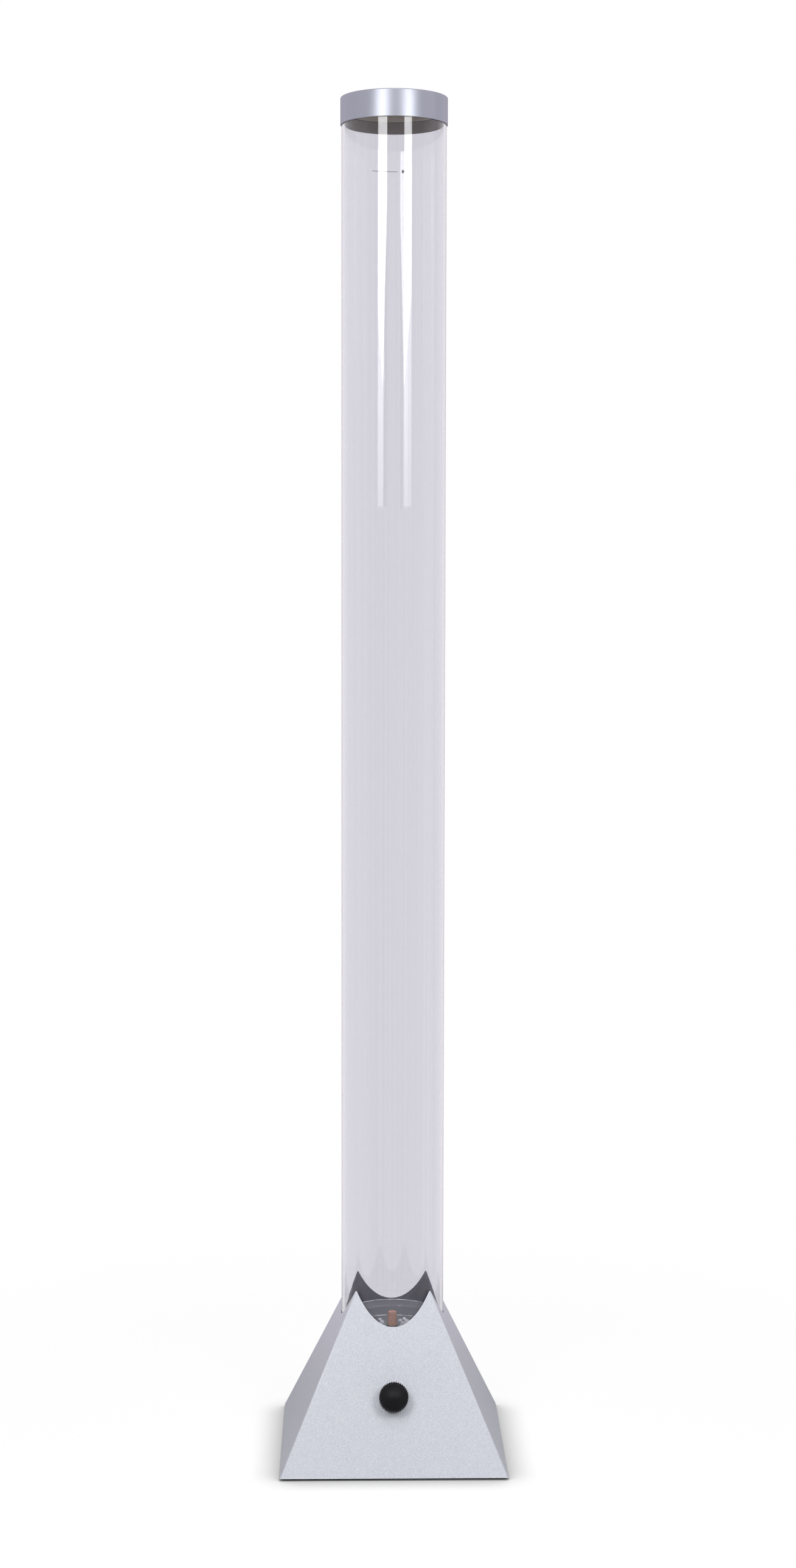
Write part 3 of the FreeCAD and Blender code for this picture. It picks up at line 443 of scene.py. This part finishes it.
# Cast silicone with phosphor in it, smooth and pale yellow.
phosphor = grained("silicone_phosphor_cast", "#E3D67A", roughness=0.22, grain=0.4, relief=0.003, ior=1.43)
deselected()
bpy.ops.mesh.primitive_cube_add(size=1.0)
light = bpy.context.object
light.dimensions = (LIGHT_WIDTH * MM, LIGHT_WIDTH * MM, (top - foot) * MM)
light.location = (LIGHT_CIRCLE * MM, 0.0, (top + foot) / 2 * MM)
applied(light)
deselected()
bpy.ops.mesh.primitive_cylinder_add(vertices=24, radius=WELL_RADIUS * MM, depth=1.0 * MM,
                                    location=(LIGHT_CIRCLE * MM, 0.0, (top - WELL_DEPTH + 0.5) * MM))
joined_by(light, bpy.context.object, "DIFFERENCE")
light.data.materials.append(package_white)
light.data.materials.append(phosphor)
for face in light.data.polygons:
    well_floor = face.normal.z > 0.9 and face.center.z < (top - WELL_DEPTH / 2) * MM
    face.material_index = 1 if well_floor else 0
others = [light.copy() for _ in range(LIGHT_COUNT - 1)]
for other in others:
    other.data = light.data.copy()
    bpy.context.collection.objects.link(other)
for i, each in enumerate([light, *others]):
    each.rotation_euler.z = math.radians(360 * (i + 0.5) / LIGHT_COUNT)
    applied(each)
merged(light, *others)
light.name = "light_ring"
settled(light, "root", "led_lens", "led_lamps")


# ---- Water tube ----------------------------------------------------------------------------------
# A length of extruded clear acrylic, 92 mm across with a 2.5 mm wall, its ends sawn and polished.
# It greys what is behind it a little and takes the softboxes as long bright bands.
def arc(radius, r, z, start, stop, count=6):
    """Points of a rounded stretch of a profile, about the centre (r, z), from start to stop degrees."""
    angles = [math.radians(start + (stop - start) * i / count) for i in range(count + 1)]
    return [(r + radius * math.cos(a), z + radius * math.sin(a)) for a in angles]


def clear_plastic(name, tint, roughness, relief, pitch, along=(1, 1, 1), haze=0.0):
    """Clear acrylic; relief and pitch, in millimetres, are those of its die lines or waves.

    The waves shift the tint by 1.5 % either way. Haze is the share of light that the plastic
    scatters. The light that falls through it on other pieces passes with a faint loss.
    """
    material, tree, where = started(name)
    where = node(tree, "Mapping", {"Vector": where, "Scale": along}).outputs[0]
    waves = node(tree, "TexNoise", {"Vector": where, "Scale": 1 / (pitch * MM),
                                    "Detail": 3.0}).outputs["Fac"]
    bump = node(tree, "Bump", {"Height": waves, "Distance": relief * MM, "Strength": 1.0})
    paler = [min(1.0, c * 1.015) for c in linear(tint)[:3]] + [1.0]
    darker = [c * 0.985 for c in linear(tint)[:3]] + [1.0]
    tone = node(tree, "MapRange", {"Value": waves, "From Min": 0.35, "From Max": 0.65}).outputs[0]
    shades = node(tree, "Mix", {0: tone, 6: darker, 7: paler}, data_type="RGBA").outputs[2]
    shader = node(tree, "BsdfPrincipled", {"Base Color": shades, "Roughness": roughness, "IOR": 1.49,
                                           "Transmission Weight": 1.0 - haze, "Normal": bump.outputs[0]})
    through = node(tree, "BsdfTransparent", {"Color": linear("#F7F7F9")})
    to_a_light = node(tree, "LightPath").outputs["Is Shadow Ray"]
    both = node(tree, "MixShader", {0: to_a_light, 1: shader.outputs[0], 2: through.outputs[0]})
    node(tree, "OutputMaterial", {"Surface": both.outputs[0]})
    return material


TUBE_RADIUS = 46.0
TUBE_BORE = 43.5
EASE, INNER_EASE = 0.35, 0.1
tube_low, tube_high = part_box("water_tube")
low, high = tube_low.z / MM, tube_high.z / MM
tube = turned("clear_tube", [
    (TUBE_BORE + EASE, low), (TUBE_RADIUS - EASE, low), (TUBE_RADIUS, low + EASE),
    (TUBE_RADIUS, high - EASE), (TUBE_RADIUS - EASE, high), (TUBE_BORE + INNER_EASE, high),
    (TUBE_BORE, high - INNER_EASE), (TUBE_BORE, low + EASE), (TUBE_BORE + EASE, low)], steps=192)
# Extruded acrylic, quite clear, with the faintest lines from the die along it.
acrylic = clear_plastic("acrylic_clear_extruded", "#E9E8ED", roughness=0.0, relief=0.008, pitch=3.2,
                        along=(1, 1, 0.002))
tube.data.materials.append(acrylic)
settled(tube, "root", "clear_acrylic", "water_tube")

# The fill mark is screen-printed on the inside of the rear wall: a thin line with a small
# triangle beside it, in dark grey ink.
MARK_HEIGHT = 1144.0
LINE_HALF, LINE_START, LINE_SWEEP = 0.22, 115.5, 30.2
TRIANGLE_HALF, TRIANGLE_START, TRIANGLE_SWEEP = 1.7, 79.5, 4.0
ink = grained("ink_grey_screen_printed", "#55555C", roughness=0.5, grain=0.3, relief=0.0)


def printed(name, half_height, start, sweep, taper=1.0):
    """Ink film on the bore, which runs clockwise, seen from above, from the angle start.

    Angles are in degrees from the lamp's right. The film narrows to the share taper of its height.
    """
    inner, outer = TUBE_BORE - 0.04, TUBE_BORE - 0.01
    low, high = MARK_HEIGHT - half_height, MARK_HEIGHT + half_height
    film = turned(name, [(outer, low), (inner, low), (inner, high), (outer, high), (outer, low)], steps=24,
                  sweep=sweep)
    for vertex in film.data.vertices:
        share = abs(math.atan2(vertex.co.y, vertex.co.x)) / math.radians(sweep)
        narrowed = half_height * MM * (1 + (taper - 1) * share)
        vertex.co.z = MARK_HEIGHT * MM + math.copysign(narrowed, vertex.co.z - MARK_HEIGHT * MM)
    film.rotation_euler.z = math.radians(start)
    applied(film)
    film.data.materials.append(ink)
    return film


mark = printed("fill_mark", LINE_HALF, LINE_START, LINE_SWEEP)
merged(mark, printed("fill_pointer", TRIANGLE_HALF, TRIANGLE_START, TRIANGLE_SWEEP, taper=0.02))
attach(mark, "root")


# ---- Plug ----------------------------------------------------------------------------------------
# The tube's foot is closed by a moulded clear cup, cemented in. Its stepped rim shows as two rings on
# the tube's rear wall, and its floor shows the lamps beneath.
plug_low, plug_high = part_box("tube_plug")
stem, rim = plug_low.z / MM, plug_high.z / MM
PLUG_OUTER = plug_high.x / MM
PLUG_FOOT, PLUG_FLOOR, PLUG_STEP, SEAT_TOP = 100.0, 104.0, 114.3, 105.5
STEM_RADIUS, AIR_BORE = 2.0, 1.0
RIM_ROUND = 0.45
# Up the stem and the outer wall, over the rim and the step, and down to the floor and the stone's seat.
plug_profile = [
    (AIR_BORE, stem), (STEM_RADIUS - 0.3, stem), (STEM_RADIUS, stem + 1.5), (STEM_RADIUS, PLUG_FOOT - 2.0),
    (STEM_RADIUS + 2.0, PLUG_FOOT), (PLUG_OUTER - 0.6, PLUG_FOOT), (PLUG_OUTER, PLUG_FOOT + 0.6),
]
plug_profile += arc(RIM_ROUND, PLUG_OUTER - RIM_ROUND, rim - RIM_ROUND, 0, 90)
plug_profile += arc(RIM_ROUND, 42.7, rim - RIM_ROUND, 90, 180)
plug_profile += [(42.1, PLUG_STEP + 0.6), (41.8, PLUG_STEP + 0.15)]
plug_profile += arc(0.6, 41.2, PLUG_STEP - 0.6, 90, 180)
plug_profile += [
    (40.5, PLUG_FLOOR + 2.2), (39.9, PLUG_FLOOR + 0.6), (38.5, PLUG_FLOOR), (6.5, PLUG_FLOOR),
    (6.1, SEAT_TOP - 0.2), (5.8, SEAT_TOP), (AIR_BORE, SEAT_TOP), (AIR_BORE, stem),
]
plug = turned("clear_plug", plug_profile, steps=160, smooth=50.0)
# Moulded acrylic, not quite clear: it holds a little haze, and its floor and steps are wavy.
moulded_clear = clear_plastic("acrylic_clear_moulded", "#ECEDF0", roughness=0.01, relief=0.15,
                              pitch=3.0, haze=0.09)
plug.data.materials.append(moulded_clear)

# Solvent cement was squeezed out where the rim meets the tube, and drops of it lie on the floor
# round the stone. It set uneven and a little cloudy. Rings are given as radius, half thickness and
# height, and drops as place and radius, in millimetres.
CEMENT_RINGS = ((42.9, 0.24, rim - 0.5), (40.6, 0.26, PLUG_FLOOR + 2.0))
CEMENT_DROPS = ((-13, 15, 2.3), (-9, 21, 2.5), (-16, 25, 1.9), (-7, 12, 1.7), (-11, 31, 1.7), (10, 18, 2.5),
                (14, 24, 2.7), (8, 28, 1.9), (17, 17, 1.9), (8, 12, 1.6), (12, 33, 1.8), (-15, -10, 1.8),
                (11, -16, 1.7), (2, -22, 1.5))
SWELL_PITCH, SWELL_DEPTH, SWELL_MIDDLE = 3.2, 0.9, 0.6
cement = clear_plastic("cement_acrylic_cloudy", "#F6F7FA", roughness=0.05, relief=0.25,
                       pitch=2.0, haze=0.42)
swell = bpy.data.textures.new("cement_swell", "CLOUDS")
swell.noise_scale = SWELL_PITCH * MM
swell.noise_depth = 2
beads = []
for radius, thick, height in CEMENT_RINGS:
    deselected()
    bpy.ops.mesh.primitive_torus_add(location=(0, 0, height * MM), major_segments=220, minor_segments=10,
                                     major_radius=radius * MM, minor_radius=thick * MM)
    beads.append(bpy.context.object)
for x, y, size in CEMENT_DROPS:
    deselected()
    bpy.ops.mesh.primitive_uv_sphere_add(segments=24, ring_count=12, radius=size * MM,
                                         location=(x * MM, y * MM, PLUG_FLOOR * MM))
    beads.append(bpy.context.object)
for bead in beads:
    applied(bead)
    uneven = bead.modifiers.new("uneven", "DISPLACE")
    uneven.texture = swell
    uneven.texture_coords = "GLOBAL"
    uneven.strength = SWELL_DEPTH * MM
    uneven.mid_level = SWELL_MIDDLE
    bpy.ops.object.modifier_apply(modifier=uneven.name)
    bpy.ops.object.shade_smooth()
    bead.data.materials.append(cement)
merged(plug, *beads)
settled(plug, "root", "clear_acrylic", "tube_plug")


# ---- Air stone -----------------------------------------------------------------------------------
# A stick of sintered terracotta-coloured grit, pushed over a spigot on a dark nylon collar. Pressed
# grains of about 0.3 mm make it rough, and its top edge is chipped.
stone_low, stone_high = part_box("air_stone")
foot, top = stone_low.z / MM, stone_high.z / MM
collar_low, collar_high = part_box("stone_nozzle")
base, spigot = collar_low.z / MM, collar_high.z / MM
STONE_RADIUS, STONE_TAPER, STONE_RINGS = 4.4, 0.6, 24
COLLAR_RADIUS, SPIGOT_RADIUS, SPIGOT_BORE = 4.9, 1.8, 0.8
collar = turned("stone_collar", [
    (SPIGOT_BORE, base), (COLLAR_RADIUS, base), (COLLAR_RADIUS, foot - 0.6),
    (COLLAR_RADIUS - 0.2, foot - 0.2), (STONE_RADIUS, foot), (SPIGOT_RADIUS, foot),
    (SPIGOT_RADIUS, spigot - 0.6), (SPIGOT_RADIUS - 0.3, spigot), (SPIGOT_BORE, spigot),
    (SPIGOT_BORE, base)], steps=48)
collar.data.materials.append(nylon)
settled(collar, "root", "nozzle_black", "stone_nozzle")

GRIT, GRAIN_HEIGHT = 0.32, 0.6
flank = [(STONE_RADIUS - STONE_TAPER * i / STONE_RINGS, foot + (top - 0.5 - foot) * i / STONE_RINGS)
         for i in range(1, STONE_RINGS + 1)]
stone = turned("grit_stone", [(1.85, foot), (STONE_RADIUS, foot)] + flank
               + [(3.6, top - 0.1), (3.3, top), (2.2, top), (1.1, top), (0.0, top)],
               steps=72, smooth=180)
grain_map = bpy.data.textures.new("stone_grains", "CLOUDS")
grain_map.noise_scale = GRIT * MM * 1.6
grain_map.noise_depth = 1
pressed = stone.modifiers.new("grains", "DISPLACE")
pressed.texture = grain_map
pressed.texture_coords = "GLOBAL"
pressed.strength = GRAIN_HEIGHT * MM
pressed.mid_level = 0.85
bpy.context.view_layer.objects.active = stone
bpy.ops.object.modifier_apply(modifier=pressed.name)
# Sintered grit: terracotta grains from pale to dark, quite matt.
grit, tree, where = started("grit_sintered_terracotta")
grains = node(tree, "TexVoronoi", {"Vector": where, "Scale": 1 / (GRIT * MM)})
shades = node(tree, "ValToRGB", {"Fac": grains.outputs["Color"]})
ramp = shades.color_ramp
ramp.elements[0].color = linear("#7A4A3C")
ramp.elements[1].color = linear("#F0CDB8")
middle = ramp.elements.new(0.5)
middle.color = linear("#C48F7A")
bump = node(tree, "Bump", {"Height": grains.outputs["Distance"], "Distance": 0.2 * MM, "Strength": 1.0},
            invert=True)
matt = node(tree, "BsdfPrincipled", {"Base Color": shades.outputs[0], "Roughness": 0.9,
                                     "Normal": bump.outputs[0]})
node(tree, "OutputMaterial", {"Surface": matt.outputs[0]})
stone.data.materials.append(grit)
settled(stone, "root", "grit_stone", "air_stone")


# ---- Pyramid cover -------------------------------------------------------------------------------
# The cover is an ABS moulding, 2.5 mm thick, sprayed silver outside and left dark grey inside. Its
# open top is cut back round the tube, which leaves four points.
COVER_BOTTOM = 2.0
COVER_HALF = 100.0
APEX = 223.0
PEAK = 149.2
SLOPE = COVER_HALF / (APEX - COVER_BOTTOM)
LEAN = math.atan(SLOPE)
# The wall's thickness and the same wall measured level.
WALL = 2.5
WALL_LEVEL = WALL / math.cos(LEAN)
HOLLOW_TOP, NOTCH_LOW, NOTCH_TOP = 159.0, 60.0, 163.0
NOTCH_RADIUS = 46.4
CORNER_ROUND, EDGE_ROUND = 0.84, 0.22


def frustum(name, inset, low, high):
    """Square frustum with the cover's slope, set in by a level distance in millimetres."""
    deselected()
    halves = [(APEX - z) * SLOPE - inset for z in (low, high)]
    bpy.ops.mesh.primitive_cone_add(
        vertices=4, radius1=halves[0] * math.sqrt(2) * MM, radius2=halves[1] * math.sqrt(2) * MM,
        depth=(high - low) * MM, location=(0, 0, (low + high) / 2 * MM), rotation=(0, 0, math.pi / 4))
    made = bpy.context.object
    made.name = name
    applied(made)
    return made


def block(x0, x1, y0, y1, z0, z1):
    """Box between two corners in millimetres."""
    deselected()
    bpy.ops.mesh.primitive_cube_add(size=1.0)
    made = bpy.context.object
    made.dimensions = ((x1 - x0) * MM, (y1 - y0) * MM, (z1 - z0) * MM)
    made.location = ((x0 + x1) / 2 * MM, (y0 + y1) / 2 * MM, (z0 + z1) / 2 * MM)
    applied(made)
    return made


def on_face(piece, side, height, x=0.0):
    """Lays a piece that was made about the upright axis onto the front (-1) or rear (1) face."""
    piece.rotation_euler.x = -side * (math.pi / 2 - LEAN)
    piece.location = (x * MM, side * (APEX - height) * SLOPE * MM, height * MM)
    applied(piece)
    return piece


def upright(radius, low, high, vertices=48):
    """Upright cylinder on the lamp's axis, in millimetres, as a tool for a cut."""
    deselected()
    bpy.ops.mesh.primitive_cylinder_add(vertices=vertices, radius=radius * MM, depth=(high - low) * MM,
                                        location=(0.0, 0.0, (low + high) / 2 * MM))
    made = bpy.context.object
    applied(made)
    return made


# Shell, hollowed and cut back round the tube, with holes for the control and the inlet, and with its
# edges eased by the paint.
KNOB_HEIGHT, CONTROL_HOLE = 64.1, 3.6
INLET_HEIGHT, INLET_X, INLET_HOLE = 22.0, 16.0, 5.55
DRILL_HALF = 8.0
cover = frustum("pyramid_shell", 0.0, COVER_BOTTOM, PEAK)
bpy.context.view_layer.objects.active = cover
bpy.ops.object.mode_set(mode="EDIT")
bpy.ops.mesh.select_mode(type="EDGE")
bpy.ops.mesh.select_all(action="DESELECT")
bpy.ops.object.mode_set(mode="OBJECT")
for edge in cover.data.edges:
    ends = [cover.data.vertices[i].co for i in edge.vertices]
    edge.select = abs(ends[0].z - ends[1].z) > 0.01
bpy.ops.object.mode_set(mode="EDIT")
bpy.ops.mesh.bevel(offset=CORNER_ROUND * MM, segments=4, affect="EDGES", offset_type="OFFSET")
bpy.ops.object.mode_set(mode="OBJECT")
joined_by(cover, frustum("hollow", WALL_LEVEL, COVER_BOTTOM - 1, HOLLOW_TOP), "DIFFERENCE")
joined_by(cover, upright(NOTCH_RADIUS, NOTCH_LOW, NOTCH_TOP, vertices=192), "DIFFERENCE")
drill = upright(CONTROL_HOLE, -DRILL_HALF, DRILL_HALF, vertices=32)
joined_by(cover, on_face(drill, -1, KNOB_HEIGHT), "DIFFERENCE")
drill = upright(INLET_HOLE, -DRILL_HALF, DRILL_HALF, vertices=40)
joined_by(cover, on_face(drill, 1, INLET_HEIGHT, INLET_X), "DIFFERENCE")
edge_round = cover.modifiers.new("edges", "BEVEL")
edge_round.width = EDGE_ROUND * MM
edge_round.segments = 2
edge_round.limit_method = "ANGLE"
edge_round.angle_limit = math.radians(38)
bpy.context.view_layer.objects.active = cover
bpy.ops.object.modifier_apply(modifier=edge_round.name)

# Inside, a pair of stiffening ribs stands on each wall, and a screw post in each corner.
RIB_AT, RIB_HALF, RIB_DEPTH, RIB_LOW, RIB_TOP = 26.0, 0.8, 6.0, 5.7, 96.0
POST_AT, POST_HALF, POST_LOW, POST_TOP = 83.5, 4.5, 4.2, 44.0
INTO_WALL = 0.6
SPACE_LOW, SPACE_TOP = 0.0, 120.0
ribs = block(RIB_AT - RIB_HALF, RIB_AT + RIB_HALF, -COVER_HALF, COVER_HALF, RIB_LOW, RIB_TOP)
joined_by(ribs, block(-RIB_AT - RIB_HALF, -RIB_AT + RIB_HALF, -COVER_HALF, COVER_HALF, RIB_LOW, RIB_TOP),
          "UNION")
for y in (RIB_AT, -RIB_AT):
    joined_by(ribs, block(-COVER_HALF, COVER_HALF, y - RIB_HALF, y + RIB_HALF, RIB_LOW, RIB_TOP), "UNION")
joined_by(ribs, frustum("rib_space", WALL_LEVEL + RIB_DEPTH, SPACE_LOW, SPACE_TOP), "DIFFERENCE")
for x in (-POST_AT, POST_AT):
    for y in (-POST_AT, POST_AT):
        joined_by(ribs, block(x - POST_HALF, x + POST_HALF, y - POST_HALF, y + POST_HALF,
                              POST_LOW, POST_TOP), "UNION")
joined_by(ribs, frustum("wall_space", WALL_LEVEL - INTO_WALL, SPACE_LOW, SPACE_TOP), "INTERSECT")
joined_by(cover, ribs, "UNION")
deselected()
cover.select_set(True)
bpy.context.view_layer.objects.active = cover
bpy.ops.object.shade_smooth_by_angle(angle=math.radians(32))
# The broad sloping faces stay flat, so that the eased edges alone turn the light.
for face in cover.data.polygons:
    lean = max(abs(face.normal.x), abs(face.normal.y))
    face.use_smooth = abs(lean - math.cos(LEAN)) > 0.002

# Silver paint: aluminium flake of about 0.3 mm in a satin binder, which sparkles a little and lies
# like fine orange peel. The flake is drawn at 0.5 mm so that the render shows it.
silver, tree, where = started("paint_silver_sprayed")
FLAKE = 0.5
flake = node(tree, "TexVoronoi", {"Vector": where, "Scale": 1 / (FLAKE * MM)}).outputs["Color"]
peel = node(tree, "TexNoise", {"Vector": where, "Scale": 1 / (0.8 * MM), "Detail": 4.0}).outputs["Fac"]
spread = node(tree, "SeparateColor", {0: flake}).outputs[0]
blended = node(tree, "Mix", {0: 0.6, 2: peel, 3: spread}).outputs[0]
shades = node(tree, "Mix", {0: blended, 6: linear("#D2D7E1"), 7: linear("#F7FBFF")}, data_type="RGBA")
bump = node(tree, "Bump", {"Height": blended, "Distance": 0.06 * MM, "Strength": 0.8})
shader = node(tree, "BsdfPrincipled", {"Base Color": shades.outputs[2], "Metallic": 0.35, "Roughness": 0.4,
                                       "Specular IOR Level": 0.25, "Coat Weight": 0.18,
                                       "Coat Roughness": 0.16, "Normal": bump.outputs[0]})
node(tree, "OutputMaterial", {"Surface": shader.outputs[0]})
# Bare moulded ABS, dark grey and satin inside, and darker and duller on the cut edge.
bare_abs = grained("abs_grey_bare", "#6D6E79", roughness=0.5, grain=0.5, relief=0.02, ior=1.54)
cut_abs = grained("abs_grey_cut_edge", "#585965", roughness=0.6, grain=0.5, relief=0.02, ior=1.54)
PAINTED, BARE, CUT = range(3)
for finish in (silver, bare_abs, cut_abs):
    cover.data.materials.append(finish)
for face in cover.data.polygons:
    middle = face.center / MM
    reach = max(abs(middle.x), abs(middle.y)) + middle.z * SLOPE
    inside = reach < APEX * SLOPE - WALL_LEVEL + 0.15
    radial = Vector((middle.x, middle.y, 0.0)).normalized()
    on_notch = math.hypot(middle.x, middle.y) < NOTCH_RADIUS + 0.06 and face.normal.dot(radial) < -0.8
    face.material_index = CUT if on_notch else BARE if inside else PAINTED
settled(cover, "root", "cover_silver", "pyramid_cover")


# ---- Knob ----------------------------------------------------------------------------------------
# A moulded black knob with 38 straight ribs that run over its shoulder to a smooth domed face. It is
# pushed on the control's spindle, square to the front face.
KNOB_RIBS = 38
KNOB_RADIUS = 12.8
KNOB_FOOT, SHOULDER, FACE_EDGE = 1.5, 14.8, 18.2
FACE_RADIUS, DOME_SPHERE = 8.3, 12.7
FOOT_RADIUS = 11.7
FOOT_ROUND, SHOULDER_ROUND = 0.25, 0.3
SPINDLE_RADIUS, SPINDLE_LOW, SPINDLE_TOP, RECESS_RADIUS = 3.05, 7.0, 15.2, 6.8
# Each rib has eight points round the knob, and these shares of the groove's depth at them.
STEPS = 8
GROOVE_DEPTH = 0.8
GROOVE_SHAPE = (1.0, 0.62, 0.12, 0.0, 0.0, 0.0, 0.12, 0.62)


def rib_phase(vertex):
    """Which of the points of its rib a point is; the groove is at the first."""
    turn = math.atan2(vertex.co.y, vertex.co.x) / (2 * math.pi)
    return round(turn * KNOB_RIBS * STEPS) % STEPS


def raised(rise, share):
    """Extrudes the selected ring by a height in millimetres and scales its new end."""
    bpy.ops.mesh.extrude_region_move(TRANSFORM_OT_translate={"value": (0.0, 0.0, rise * MM)})
    bpy.ops.transform.resize(value=(share, share, 1.0))


deselected()
bpy.ops.mesh.primitive_circle_add(vertices=KNOB_RIBS * STEPS, radius=FOOT_RADIUS * MM,
                                  location=(0, 0, KNOB_FOOT * MM))
ribbed = bpy.context.object
applied(ribbed)
bpy.ops.object.mode_set(mode="EDIT")
bpy.ops.mesh.select_mode(type="VERT")
bpy.ops.mesh.select_all(action="SELECT")
raised(0.0, (KNOB_RADIUS - FOOT_ROUND) / FOOT_RADIUS)
raised(FOOT_ROUND, KNOB_RADIUS / (KNOB_RADIUS - FOOT_ROUND))
raised(SHOULDER - 0.4 - KNOB_FOOT - FOOT_ROUND, 1.0)
raised(0.55, (KNOB_RADIUS - SHOULDER_ROUND) / KNOB_RADIUS)
shoulder_end = FACE_RADIUS + 0.75
raised(FACE_EDGE - SHOULDER - 0.2, shoulder_end / (KNOB_RADIUS - SHOULDER_ROUND))
raised(0.1, (FACE_RADIUS + 0.35) / shoulder_end)
raised(-0.25, (FACE_RADIUS - 0.3) / (FACE_RADIUS + 0.35))
bpy.ops.object.mode_set(mode="OBJECT")
for vertex in ribbed.data.vertices:
    if math.hypot(vertex.co.x, vertex.co.y) / MM > FACE_RADIUS + 0.1:
        share = 1 - GROOVE_DEPTH * GROOVE_SHAPE[rib_phase(vertex)] / KNOB_RADIUS
        vertex.co.x *= share
        vertex.co.y *= share
centre = FACE_EDGE - math.sqrt(DOME_SPHERE ** 2 - FACE_RADIUS ** 2)
dome = [(r, centre + math.sqrt(DOME_SPHERE ** 2 - r ** 2))
        for r in (FACE_RADIUS, 7.6, 6.6, 5.5, 4.4, 3.3, 2.2, 1.1, 0.0)]
knob = turned("fluted_knob", [
    (0.0, SPINDLE_TOP), (SPINDLE_RADIUS, SPINDLE_TOP), (SPINDLE_RADIUS, SPINDLE_LOW),
    (RECESS_RADIUS, SPINDLE_LOW), (RECESS_RADIUS, KNOB_FOOT), (FOOT_RADIUS, KNOB_FOOT),
    (FOOT_RADIUS, SHOULDER), (FACE_RADIUS, FACE_EDGE - 0.1)] + dome, steps=96)
merged(knob, ribbed)
bpy.ops.object.mode_set(mode="EDIT")
bpy.ops.mesh.select_all(action="SELECT")
bpy.ops.mesh.remove_doubles(threshold=0.002 * MM)
bpy.ops.object.mode_set(mode="OBJECT")
bpy.ops.object.shade_smooth_by_angle(angle=math.radians(35))
on_face(knob, -1, KNOB_HEIGHT)
# Moulded black ABS, semi-gloss. The grain of its mould scatters part of the sheen, so its IOR is set
# below that of smooth ABS.
knob_abs = grained("abs_black_semi_gloss", "#07070B", roughness=0.5, grain=0.5, relief=0.005, ior=1.36)
knob.data.materials.append(knob_abs)
settled(knob, "knob", "knob_black", "control_knob")


# ---- Cap -----------------------------------------------------------------------------------------
# A drawn aluminium lid, finely blasted and clear anodised to a satin grey, with a dark moulded liner
# that rests on the tube's end.
cap_low, cap_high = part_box("top_cap")
low, high = cap_low.z / MM, cap_high.z / MM
CAP_RADIUS, CAP_BORE = 46.95, 46.3
CAP_THICK, CAP_ROUND, CAP_EASE = 0.8, 0.8, 0.25
cap_profile = [(CAP_BORE, low), (CAP_RADIUS - CAP_EASE, low), (CAP_RADIUS, low + CAP_EASE)]
cap_profile += arc(CAP_ROUND, CAP_RADIUS - CAP_ROUND, high - CAP_ROUND, 0, 90)
cap_profile += [(0.0, high), (0.0, high - CAP_THICK), (CAP_BORE, high - CAP_THICK), (CAP_BORE, low)]
cap = turned("cap_shell", cap_profile, steps=192)
# Satin anodised aluminium: blasted fine, so its highlights have soft edges and part of the light is
# scattered by the oxide, with a cool grey tone.
anodised, tree, where = started("aluminium_satin_anodised")
blasted = node(tree, "TexNoise", {"Vector": where, "Scale": 1 / (0.4 * MM), "Detail": 3.0}).outputs["Fac"]
rough = node(tree, "MapRange", {"Value": blasted, "To Min": 0.34, "To Max": 0.42}).outputs[0]
bump = node(tree, "Bump", {"Height": blasted, "Distance": 0.006 * MM, "Strength": 1.0})
shader = node(tree, "BsdfPrincipled", {"Base Color": linear("#B0B3BE"), "Metallic": 0.55,
                                       "Roughness": rough, "Normal": bump.outputs[0]})
node(tree, "OutputMaterial", {"Surface": shader.outputs[0]})
# The bore below the liner is lacquered brown-grey, matt.
lacquer = grained("lacquer_brown_grey", "#ADA496", roughness=0.55, grain=0.5, relief=0.02)
cap.data.materials.append(anodised)
cap.data.materials.append(lacquer)
for face in cap.data.polygons:
    in_bore = math.hypot(face.center.x, face.center.y) < (CAP_BORE + 0.05) * MM
    face.material_index = 1 if in_bore and face.center.z < (high - 0.5) * MM else 0
settled(cap, "cap", "cap_aluminium", "top_cap")

liner_low, liner_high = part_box("cap_liner")
low, high = liner_low.z / MM, liner_high.z / MM
LINER_RADIUS = liner_high.x / MM
LINER_BORE, LINER_THICK, LINER_ROUND = 43.6, 1.5, 1.0
liner = turned("cap_liner_cup", [
    (LINER_BORE, low), (LINER_RADIUS, low), (LINER_RADIUS, high), (0.0, high), (0.0, high - LINER_THICK),
    (LINER_BORE - LINER_ROUND, high - LINER_THICK), (LINER_BORE, high - LINER_THICK - LINER_ROUND),
    (LINER_BORE, low)], steps=128)
# Moulded ABS, brown-grey and matt.
liner_abs = grained("abs_brown_grey_moulded", "#ADA496", roughness=0.55, grain=0.5, relief=0.02, ior=1.54)
liner.data.materials.append(liner_abs)
settled(liner, "cap", "liner_dark", "cap_liner")
